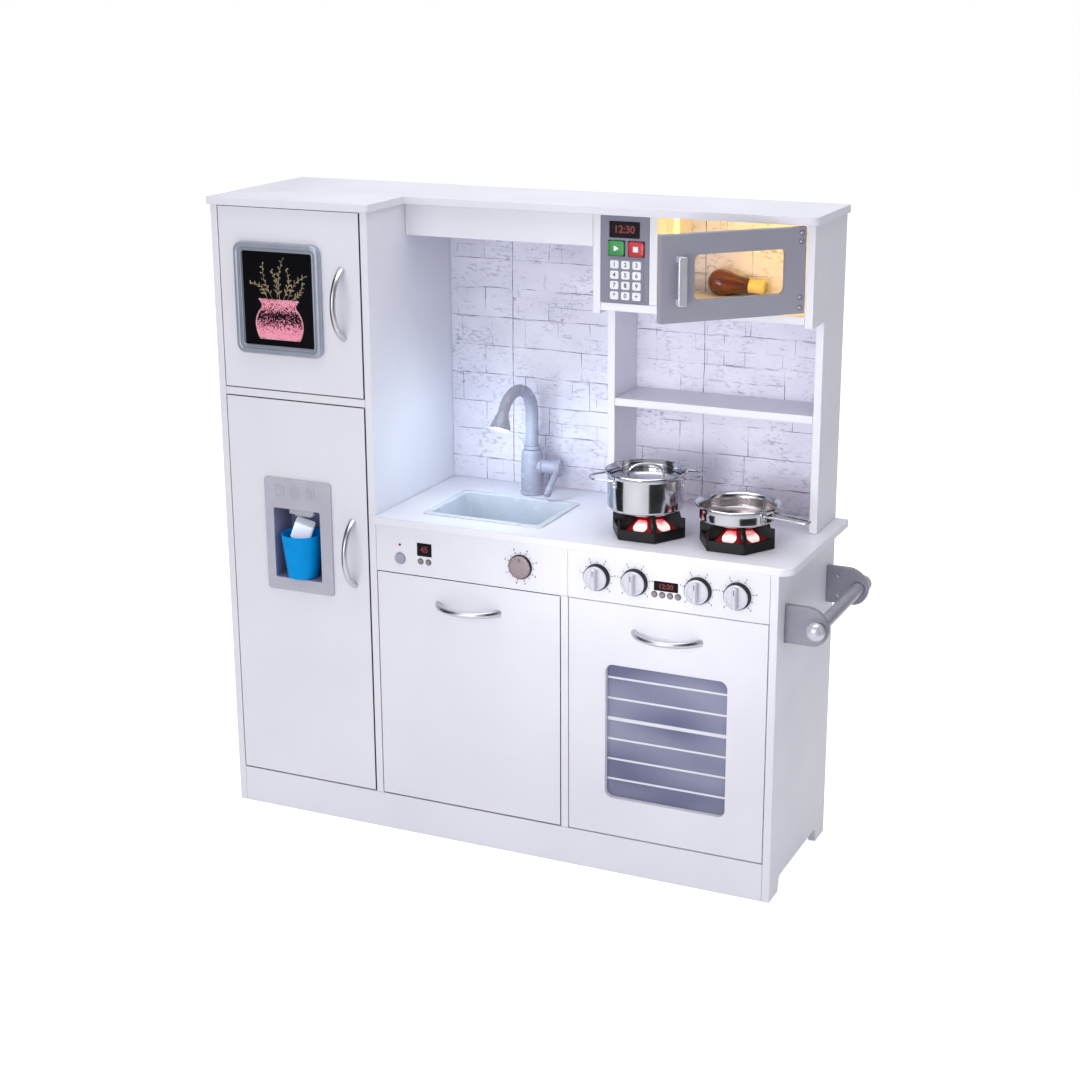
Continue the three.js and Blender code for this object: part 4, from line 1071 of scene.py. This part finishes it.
def sink():
    low, high = span("sink_basin")
    flange = (low.x, high.x, low.y, high.y)
    bowl = tuple(side + step * 8.5 for side, step in zip(flange, (1, -1, 1, -1)))
    hollow = tuple(side + step * 10.5 for side, step in zip(flange, (1, -1, 1, -1)))
    top, floor, under = high.z, low.z + 2, high.z - 1.8
    bm = bmesh.new()
    rings = stacked(bowl, 9, [(5, low.z), (1.5, low.z + 1.5), (0, low.z + 5), (0, under)])
    rings += stacked(flange, 7, [(0, under)] + quarter(0.9, top))
    rings += stacked(hollow, 8, [(-i, h) for i, h in quarter(1.4, top, False, 4)])
    turns = (0, 0.4, 0.8, 1.2, pi / 2)
    rings += stacked(hollow, 8, [(6 * (1 - cos(t)), floor + 6 * (1 - sin(t))) for t in turns])
    loft(bm, rings)
    piece("sink_bowl", bm, BASIN, "sink_basin")
    centre = middle("sink_basin")
    bm = bmesh.new()
    drain = at(centre.x, centre.y, floor)
    turned(bm, [(0, 0), (17, 0), (16.6, 0.9), (15, 1.3), (13, 0.8), (12.4, 0.4), (0, 0.4)], 48, drain)
    coat(bm, 0)
    holes = [drain @ spin(pi * k / 3, "Z") @ at(7.5, 0, 0) for k in range(6)]
    # Black discs on the plate for the drain's holes: painted shade where the open holes would be dark.
    for spot in holes + [drain]:
        turned(bm, [(0, 0.3), (1.9, 0.3), (1.9, 0.5), (0, 0.5)], 20, spot)
    coat(bm, 1)
    piece("sink_drain", bm, [SATIN, BLACK], body="cabinet", slot="steel")


def faucet():
    low = span("faucet_body")[0]
    x, y, base = low.x + 19, low.y + 19, low.z
    stand = at(x, y, base)
    bm = bmesh.new()
    stem = [(0, 0), (18.6, 0), (19, 0.4), (19, 3.2), (18.6, 4.0), (18.1, 4.4), (18.1, 5.2), (18.0, 20)]
    stem += [(17.8, 50), (17.2, 60), (16.7, 67), (16.2, 69.4), (15.2, 71.2), (13.8, 72.6), (12.6, 73), (0, 73)]
    turned(bm, stem, 72)
    across = at(0, 0, 46) @ spin(pi / 2, "Y")
    boss = [(0, 10), (12.6, 10), (12.6, 17.5), (12.4, 19.0), (11.4, 19.8), (11.0, 20.4), (11, 36.6)]
    turned(bm, boss + [(10.6, 37.6), (9.8, 38), (0, 38)], 56, across)
    piece("faucet_stem", bm, SILVER, "faucet_body", matrix=stand)

    pivot = at(x + 38 + GAP, y, base + 46)
    bm = bmesh.new()
    side = spin(pi / 2, "Y")
    hub = [(0, 0), (12.8, 0), (13.4, 0.6), (13.5, 1.4), (13.5, 11)]
    hub += [(12.8, 12.8), (11, 13.7), (8.5, 14), (0, 14)]
    turned(bm, hub, 56, side)
    hang = at(7, 0, 0) @ spin(pi / 2 + radians(38), "X")
    shape = [(0, 2), (5.0, 2), (5.05, 14), (5.4, 34), (5.9, 50), (6, 53)]
    turned(bm, shape + [(6 * cos(t), 53 + 5 * sin(t)) for t in (0.35, 0.7, 1.05, 1.35)] + [(0, 58)], 40, hang)
    piece("faucet_handle", bm, SILVER, "faucet_lever", matrix=pivot)

    swivel = at(x, y, base + 73 + GAP) @ spin(radians(-6.4), "Z")
    riser, bend, sweep = 58.4, 44.0, 156
    path = [(0, 0, 0), (0, 0, 12), (0, 0, 36)]
    path += [(0, a - bend, riser + b) for a, b in arc(bend, 0, sweep, 32)]
    slim = [10.3, 10.3, 10.3] + [10.3 - 1.9 * k / 32 for k in range(33)]
    bm = bmesh.new()
    bar(bm, path, [(r, r) for r in slim], 40, Vector((1, 0, 0)), round_ends=False)
    collar = [(0, 0), (12.8, 0), (13.2, 0.5), (13.2, 4.0), (12.6, 5.2), (11.4, 5.8), (10.2, 6.0), (0, 6.0)]
    turned(bm, collar, 56)
    end = Vector((0, bend * cos(radians(sweep)) - bend, riser + bend * sin(radians(sweep))))
    length = 28.0
    mouth = at(*end) @ spin(radians(sweep - 180), "X") @ at(0, 0, -length)
    cone = [(0, 4), (14.2, 4), (14.9, 0.8), (15.4, 0), (16.1, 0.3), (16.5, 1.1), (16.3, 3), (15.2, 7.5)]
    cone += [(13.0, 13), (10.8, 19), (9.2, 25), (8.4, 29)]
    turned(bm, cone + [(8.0, 30), (0, 30)], 56, mouth)
    piece("faucet_neck", bm, SILVER, "faucet_spout", matrix=swivel)
    bm = bmesh.new()
    turned(bm, [(0, 0.9), (12.4, 0.9), (14.4, 1.8), (14.4, 4.2), (0, 4.2)], 40, mouth)
    piece("faucet_lamp", bm, LED_COLD, body="faucet_spout", slot="key_white", matrix=swivel)
    outlet = swivel @ mouth
    lamp("faucet_light", "POINT", outlet @ Vector((0, 0, -14)), 0.42, (0.74, 0.93, 1.0), "faucet_spout", 0.01)


sink()
faucet()

# ---------- hob, pot and pan


def burner(node):
    centre = middle(node)
    place = at(centre.x, centre.y, span(node)[0].z)
    radius, wall, rim, post, arm, tray = 58.0, 3.5, 16.0, 30.0, 38.5, 4.0

    def hexagon(size, corner):
        turns = [pi * k / 3 for k in range(6)]
        return outline([(size * cos(t), size * sin(t), corner) for t in turns], 4)

    bm = bmesh.new()
    plate(bm, hexagon(radius - 1, 1.5), 0, tray, 0.5)
    plate(bm, hexagon(radius, 2.0), 0.6, rim, 0.9, holes=[hexagon(radius - wall, 1.5)])
    side = [(15, tray / 2, 0.5), (57, tray / 2, 0.5), (57, post, 1.8)]
    side += [(50.4, post, 1.2), (48.2, arm, 1.2), (15, arm, 1.8)]
    for k in range(6):
        rib = spin(pi * k / 3, "Z") @ facing_front(0, 3, 0)
        plate(bm, outline(side, 5), 0, 6, 0.9, rib)
    piece(f"{node}_grate", bm, BLACK, node, matrix=place)
    bm = bmesh.new()
    cone = [(0, 3.8), (51.5, 3.8), (51.5, 8), (50, 11.5), (25.4, 28), (20, 29.6), (0, 30.4)]
    turned(bm, cone, 6, place)
    piece(f"{node}_lens", bm, LENS_RED, body="cabinet", slot="stop_red")
    bm = bmesh.new()
    for k in range(6):
        slope = place @ spin(pi * (k + 0.5) / 3, "Z")
        facet = outline([(24, -6.5, 3), (41.5, -14.5, 7), (41.5, 14.5, 7), (24, 6.5, 3)], 5)
        rise = [(x, y, 28 - 0.775 * (x - 22)) for x, y in facet]
        loft(bm, [[(x, y, z - 1) for x, y, z in rise], [(x, y, z + 0.8) for x, y, z in rise]], slope)
    piece(f"{node}_lights", bm, FACET, body="cabinet", slot="stop_red")


burner("burner_left")
burner("burner_right")


def vessel(bm, foot, body, rim, height, lining=0):
    """A pressed pan about Z with a rounded foot, a flared and rolled rim, and a hollow inside."""
    metal, corner = 1.5, body - foot
    outer = [(0, 0.6), (foot - 8, 0.6), (foot - 7, 0), (foot - 2, 0)]
    turns = (0.3, 0.6, 0.9, 1.2, pi / 2)
    outer += [(foot - 2 + (corner + 2) * sin(t), corner * (1 - cos(t))) for t in turns]
    outer += [(body, height * 0.5), (body, height - 9.0)]
    outer += [(body + 0.8, height - 6.0), (body + 2.5, height - 3.6)]
    roll = [(rim - 1.0, height - 2.9), (rim, height - 1.9), (rim - 0.1, height - 0.8), (rim - 1.1, height)]
    roll += [(rim - 2.4, height - 0.3), (body + 1.4, height - 2.4), (body - metal + 0.8, height - 5.2)]
    inner = [(body - metal, height - 8.5), (body - metal, height * 0.5)]
    bowl = [(foot - 2 + (corner + 2) * sin(t) - metal, metal + corner * (1 - cos(t))) for t in turns[::-1]]
    turned(bm, outer + roll, 96, caps="first")
    coat(bm, 0)
    turned(bm, [roll[-1]] + inner + bowl + [(foot - 3, metal), (0, metal)], 96, caps="last")
    coat(bm, lining)


WIRE = (1.9, 1.9)  # half the width and height of the wire in the pans' and the lid's handles


def side_loop(bm, wall, tip, half, height, place=Matrix()):
    """A wire loop standing out of a pan's side, held by an upright riveted plate at each end."""
    root = sqrt(wall**2 - half**2)
    path = [(root - 0.4, -half, height), (root + 4, -half, height), (tip - 7, -half * 0.62, height)]
    path += [(tip - 1.5, -half * 0.3, height), (tip, 0, height)]
    path += [(x, -y, z) for x, y, z in path[-2::-1]]
    bar(bm, smooth_path(path), WIRE, 20, matrix=place, round_ends=False)
    for side in (-1, 1):
        turn = asin(side * half / wall)
        flat = place @ spin(turn, "Z") @ at(wall - 0.6, 0, height) @ spin(pi / 2, "Y")
        block(bm, (-4, 12, -5.5, 5.5), 0, 1.6, 3, 0.5, flat)
        for drop in (3.6, 9):
            rivet = flat @ at(drop, 0, 0)
            turned(bm, [(0, 1.2), (2.2, 1.2), (2.1, 2.0), (1.5, 2.6), (0, 2.8)], 24, rivet)


def pot_and_lid():
    centre = middle("pot_lid")
    place = at(centre.x, centre.y, span("pot")[0].z) @ spin(radians(30), "Z")
    height = 59.4
    bm = bmesh.new()
    vessel(bm, 50, 57, 61.9, height)
    top = height - 14 - GAP
    turned(bm, [(51, top - 1), (56.3, top - 4), (56.3, top), (51.4, top), (51, top - 1)], 96, caps="none")
    for turn in (0, pi):
        side_loop(bm, 57, 83.5, 26, height - 9.5, spin(turn, "Z"))
    piece("pot_body", bm, POLISHED, "pot", matrix=place)

    lid = place @ at(0, 0, height - 14)
    bm = bmesh.new()
    edge = [(0, 0), (51.6, 0), (52.6, 0.2), (53, 0.8), (52.8, 1.4), (51.8, 1.7)]
    turned(bm, edge + [(48, 1.9), (44, 2.3), (26, 3.1), (0, 3.5)], 96)
    across = spin(radians(-8), "Z")
    arch = [(26 * cos(t), 0, 21 * sin(t) ** 0.6 + 1.2) for t in (pi * k / 28 for k in range(1, 28))]
    path = [(26, 0, 1.8)] + arch + [(-26, 0, 1.8)]
    bar(bm, path, WIRE, 20, Vector((0, 1, 0)), across, round_ends=False)
    for side in (-1, 1):
        foot = across @ at(side * 26, 0, 2.6)
        turned(bm, [(0, 0), (5.4, 0), (5.2, 0.9), (4.2, 1.4), (0, 1.6)], 32, foot)
    piece("pot_lid_body", bm, POLISHED, "pot_lid", matrix=lid)


def frying_pan():
    low = span("pan")[0]
    centre = middle("burner_right")
    place = at(centre.x, centre.y, low.z) @ spin(radians(-16.4), "Z")
    height = 25.5
    bm = bmesh.new()
    vessel(bm, 51, 56, 62.5, height, lining=1)
    side_loop(bm, 56.5, 122.3, 13, height - 9.5)
    piece("pan_body", bm, [POLISHED, BRUSHED], "pan", matrix=place)


pot_and_lid()
frying_pan()

# ---------- food, rack, small parts


def drumstick():
    place = at(722.8, 243, span("microwave_floor")[1].z + GAP + 21.2)
    place = place @ spin(radians(6), "Z") @ spin(radians(5), "Y")
    along = spin(pi / 2, "Y")
    bm = bmesh.new()
    meat = [(0, 0), (5, 0.4), (9, 1.6), (12.8, 3.8), (15.5, 6.6), (17.7, 10.5)]
    meat += [(19, 15), (19.4, 20), (19.2, 25), (17.9, 32), (16, 38), (14.2, 44)]
    meat += [(12.6, 50), (11.4, 55), (10.8, 59), (10.4, 62), (9.6, 63.2), (0, 63.2)]
    turned(bm, meat, 64, along)
    for vert in bm.verts:
        swell = sin(vert.co.x * 0.13) * cos(2 * atan2(vert.co.z, vert.co.y))
        vert.co.y *= 1 + 0.015 * swell
        vert.co.z *= 1 - 0.03 * swell
    coat(bm, 0)
    bone = [(0, 62), (9.6, 62), (10.6, 63.4), (10.4, 66), (9.9, 70), (10.0, 75), (11, 79), (12, 82)]
    turned(bm, bone + [(11.8, 84.4), (10.2, 86.0), (7, 86.5), (3, 85.6), (0, 85.2)], 48, along)
    coat(bm, 1)
    piece("drumstick_body", bm, [ROAST, BONE], "drumstick", matrix=place)


drumstick()


def towel_rack():
    rod_x, rod_z, rod_radius = 975, 427.5, 9.8
    ball, flat = 14.0, 0.85
    hole = rod_radius + 0.4
    for node in ("towel_bracket_front", "towel_bracket_rear"):
        low, high = span(node)
        corners = [(low.x, low.z, 0.8), (high.x, low.z, 24), (high.x, high.z, 33), (low.x, high.z, 0.8)]
        bm = bmesh.new()
        shape = outline(corners, 14)
        plate(bm, shape, 0, 10, 0.9, facing_front(0, high.y, 0), [disc(rod_x, rod_z, hole)])
        rim = [(hole + r, z) for r, z in ((0.3, 0), (2.5, 0), (2.3, 0.5), (1.3, 0.8), (0.5, 0.6), (0.3, 0))]
        turned(bm, rim, 48, facing_front(rod_x, low.y, rod_z), "none")
        piece(f"{node}_plate", bm, BRACKET, node)
        bm = bmesh.new()
        inner = node == "towel_bracket_rear"
        for x, z in ((943.3, 443.7), (943.3, 413.2)):
            spot = facing_front(x, low.y, z) if inner else facing_back(x, high.y, z)
            turned(bm, [(0, 0), (2.9, 0), (2.8, 0.8), (2.0, 1.4), (0, 1.5)], 28, spot)
        piece(f"{node}_screws", bm, ZINC, body="cabinet", slot="steel")
    low, high = span("towel_rod")
    centre = middle("towel_rod")
    along = spin(-pi / 2, "X")
    length = high.y - low.y - 2 * ball * flat
    bm = bmesh.new()
    neck = asin(rod_radius / ball)
    first = [(ball * sin(t), -ball * flat * cos(t)) for t in ((pi - neck) * k / 22 for k in range(23))]
    second = [(r, length - z) for r, z in first[::-1]]
    turned(bm, first + second, 64)
    for face in bm.faces:
        along_rod = face.calc_center_median().z
        face.material_index = 0 if ball * 0.7 < along_rod < length - ball * 0.7 else 1
    place = at(centre.x, low.y + ball * flat, centre.z) @ along
    piece("towel_bar", bm, [ROD_GREY, PEARL], "towel_rod", matrix=place)


towel_rack()


def chalk_drawing():
    """A round striped vase with leafy stems in chalk, flat on the board."""
    face = facing_front(0, -3.0, 0)
    low, high = span("chalkboard")
    x, base = (low.x + high.x) / 2, low.z + 24

    def stroke(bm, points, width, lift=0.02):
        path = [(a, b, lift) for a, b in points]
        bar(bm, smooth_path(path, 8), (width, 0.12), 10, matrix=face, round_ends=True)

    sides = [(37, 0), (41, 6), (44.5, 18), (44, 30), (38, 42), (32, 50), (33, 56), (39, 61)]
    sides = [(0.93 * half, z) for half, z in sides]

    def half_at(z):
        for (a, z0), (b, z1) in zip(sides, sides[1:]):
            if z0 <= z <= z1:
                return a + (b - a) * (z - z0) / (z1 - z0)
        return sides[-1][0]

    bm = bmesh.new()
    edge = [tuple(p) for p in smooth_path([(half, z, 0) for half, z in sides], 5)]
    left = [(x - half, base + z) for half, z, _ in edge]
    right = [(x + half, base + z) for half, z, _ in edge]
    plate(bm, right + left[::-1], -0.1, 0.1, 0.08, face, steps=1)
    coat(bm, 0)
    stroke(bm, left[::4], 1.1, 0.12)
    stroke(bm, right[::4], 1.1, 0.12)
    for z, wave, width in ((1.0, 0, 1.5), (9, 1.4, 0.7), (47, 1.6, 0.9), (60.5, 0.4, 1.7)):
        half = half_at(z) - 0.6
        line = [(x - half + 2 * half * k / 12, base + z + wave * (-1) ** k) for k in range(13)]
        stroke(bm, line, width, 0.12)
    coat(bm, 1)
    piece("chalk_vase", bm, [PINK_DUST, PINK_CHALK], body="freezer_door", slot="white_board")
    bm = bmesh.new()
    top = base + 62
    stems = ((-46, 40, 9), (-25, 56, -6), (-6, 44, 5), (4, 62, -5), (20, 48, 8), (38, 52, -7), (52, 38, 6))
    for lean, length, sway in stems:
        root = Vector((x + lean * 0.42, top))
        aim = Vector((sin(radians(lean)) * 0.85, cos(radians(lean))))
        across = Vector((aim.y, -aim.x)).normalized() * sway
        path = [root + aim * length * t + across * sin(pi * t * 1.3) * t for t in (0, 0.3, 0.6, 0.85, 1)]
        stroke(bm, [tuple(spot) for spot in path], 0.5)
        for k in range(2, 13):
            t = k / 12
            spot = root + aim * length * t + across * sin(pi * t * 1.3) * t
            angle = radians(lean + (-1) ** k * (38 + 5 * (k % 3)))
            size = (5.4 + 1.4 * (k % 2)) * (1.1 - 0.4 * t)
            tip = Vector((sin(angle), cos(angle))) * size
            stroke(bm, [tuple(spot + tip * r) for r in (0.1, 0.55, 1)], 1.05)
    piece("chalk_leaves", bm, SAND_CHALK, body="freezer_door", slot="white_board")


chalk_drawing()


def cap(bm, place):
    turned(bm, [(0, 0), (4.6, 0), (4.6, 0.25), (3.91, 0.55), (0, 0.65)], 28, place)


def screws_and_caps():
    """Screw caps on the right side and the partition, and screws in the back panels."""
    side_x, partition_x = 925, 274
    bm = bmesh.new()
    for y, z in ((197.3, 855.9), (237.7, 500.4), (228.7, 54.4), (40.6, 58.8)):
        cap(bm, facing_right(side_x, y, z))
    for y, z in ((229, 698), (40, 700)):
        cap(bm, facing_right(partition_x, y, z))
    piece("screw_caps", bm, WHITE, body="cabinet", slot="white_board")
    bm = bmesh.new()
    for x0, x1, z0, z1 in ((24, 250, 52, 980), (286, 900, 52, 503), (286, 900, 532, 980)):
        count_x, count_z = max(2, round((x1 - x0) / 200) + 1), max(2, round((z1 - z0) / 220) + 1)
        for i in range(count_x):
            for k in range(count_z):
                if 0 < i < count_x - 1 and 0 < k < count_z - 1:
                    continue
                x = x0 + (x1 - x0) * i / (count_x - 1)
                z = z0 + (z1 - z0) * k / (count_z - 1)
                screw(bm, facing_back(x, 269, z), 3.2)
    piece("back_screws", bm, ZINC, body="cabinet", slot="steel")


screws_and_caps()

# ---------- lamps and light


def built_in_lights():
    bm = bmesh.new()
    turned(bm, [(0, 0), (3, 0), (4, 1), (4, 24), (3, 26.5), (0, 27)], 32, at(702, 160, 959))
    block(bm, (736, 747, 226, 237), 976, 986.5, 2, 0.6)
    piece("microwave_lamps", bm, LED_WARM, body="cabinet", slot="key_white")
    lamp("cavity_light", "POINT", (790, 150, 940), 0.25, (1.0, 0.56, 0.03), "cabinet", 0.02)
    lamp("cavity_light_deep", "POINT", (850, 180, 945), 0.17, (1.0, 0.6, 0.03), "cabinet", 0.02)
    for node in ("burner_left", "burner_right"):
        centre = middle(node)
        lamp(f"{node}_glow", "POINT", (centre.x, centre.y, 558), 0.05, (1.0, 0.06, 0.05), "cabinet", 0.003)


built_in_lights()


def studio():
    scene = bpy.context.scene
    scene.view_settings.view_transform = "Standard"
    world = bpy.data.worlds.new("studio")
    world.use_nodes = True
    scene.world = world
    nodes, links = world.node_tree.nodes, world.node_tree.links
    room = nodes["Background"]
    room.inputs["Color"].default_value = rgb("#ffffff")
    room.inputs["Strength"].default_value = 0.45
    backdrop = nodes.new("ShaderNodeBackground")
    backdrop.inputs["Color"].default_value = rgb("#ffffff")
    mix = nodes.new("ShaderNodeMixShader")
    links.new(nodes.new("ShaderNodeLightPath").outputs["Is Camera Ray"], mix.inputs[0])
    links.new(room.outputs[0], mix.inputs[1])
    links.new(backdrop.outputs[0], mix.inputs[2])
    links.new(mix.outputs[0], nodes["World Output"].inputs["Surface"])

    floor = Look("studio_floor", "#f6f6f8", 0.8)
    floor.set("Emission Color", rgb("#ffffff"))
    seen = floor.node("ShaderNodeLightPath").outputs["Is Camera Ray"]
    floor.set("Emission Strength", floor.between(seen, 0.1, 0.75, 0.0, 1.0))
    floor.bump(floor.noise(3.0, 2.0), 0.01)
    bm = bmesh.new()
    turned(bm, [(0, -4.5), (9000, -4.5), (9000, -0.5), (0, -0.5)], 96)
    stage_mesh("studio_floor", bm, floor.material, (0, 0, ORIGIN.z))
    card = Look("black_card", "#141418", 0.9)
    card.bump(card.noise(40.0, 2.0), 0.05)
    for number, (first, last) in enumerate(((28, 79), (100, 150), (-123, -50))):
        turns = [radians(first + (last - first) * k / 8 - 90) for k in range(9)]
        bm = bmesh.new()
        foot = [(1250 * cos(t), 1250 * sin(t)) for t in turns]
        foot += [(1254 * cos(t), 1254 * sin(t)) for t in turns[::-1]]
        loft(bm, [[(x, y, z) for x, y in foot] for z in (0, 2000)])
        flag = stage_mesh(f"black_card_{number}", bm, card.material, ORIGIN + Vector((760, 80, 0)) * MM)
        flag.visible_camera = flag.visible_diffuse = flag.visible_shadow = flag.visible_transmission = False
    middle_of_kitchen, into_the_bay = (460, 120, 480), (735, 240, 600)
    lamp("key", "AREA", (100, -2900, 1250), 28, (1, 0.99, 0.98), None, (2.4, 2.0), (460, 120, 600))
    lamp("top", "AREA", (500, 0, 2900), 45, (1, 1, 1), None, (2.6, 2.0), middle_of_kitchen)
    narrow = radians(46)
    lamp("bay", "AREA", (720, -1000, 700), 0.42, (1, 1, 1), None, (0.3, 0.3), into_the_bay, spread=narrow)
    lamp("fill", "AREA", (3000, -900, 1300), 7, (0.94, 0.95, 1), None, (2.0, 2.0), middle_of_kitchen)


def stage_mesh(name, bm, look, place):
    mesh = bpy.data.meshes.new(name)
    bm.to_mesh(mesh)
    bm.free()
    mesh.transform(Matrix.Scale(MM, 4))
    mesh.materials.append(look)
    made = bpy.data.objects.new(name, mesh)
    made.location = place
    bpy.context.scene.collection.objects.link(made)
    return made


studio()


def camera():
    """Where the photograph was taken from, found by matching the cabinet's corners."""
    data = bpy.data.cameras.new("camera")
    data.sensor_width = 36
    data.lens = 65.54
    data.dof.use_dof = False
    data.clip_end = 100
    made = bpy.data.objects.new("camera", data)
    bpy.context.scene.collection.objects.link(made)
    yaw, pitch, roll = radians(24.86), radians(16.79), radians(-0.3)
    forward = Vector((-sin(yaw) * cos(pitch), cos(yaw) * cos(pitch), -sin(pitch)))
    level = Vector((cos(yaw), sin(yaw), 0))
    up = level.cross(forward)
    right = level * cos(roll) + up * sin(roll)
    made.matrix_world = Matrix.Translation(ORIGIN + Vector((1728.71, -2535.99, 1361.65)) * MM) @ Matrix(
        (right, right.cross(forward), -forward)
    ).transposed().to_4x4()
    bpy.context.scene.camera = made


camera()
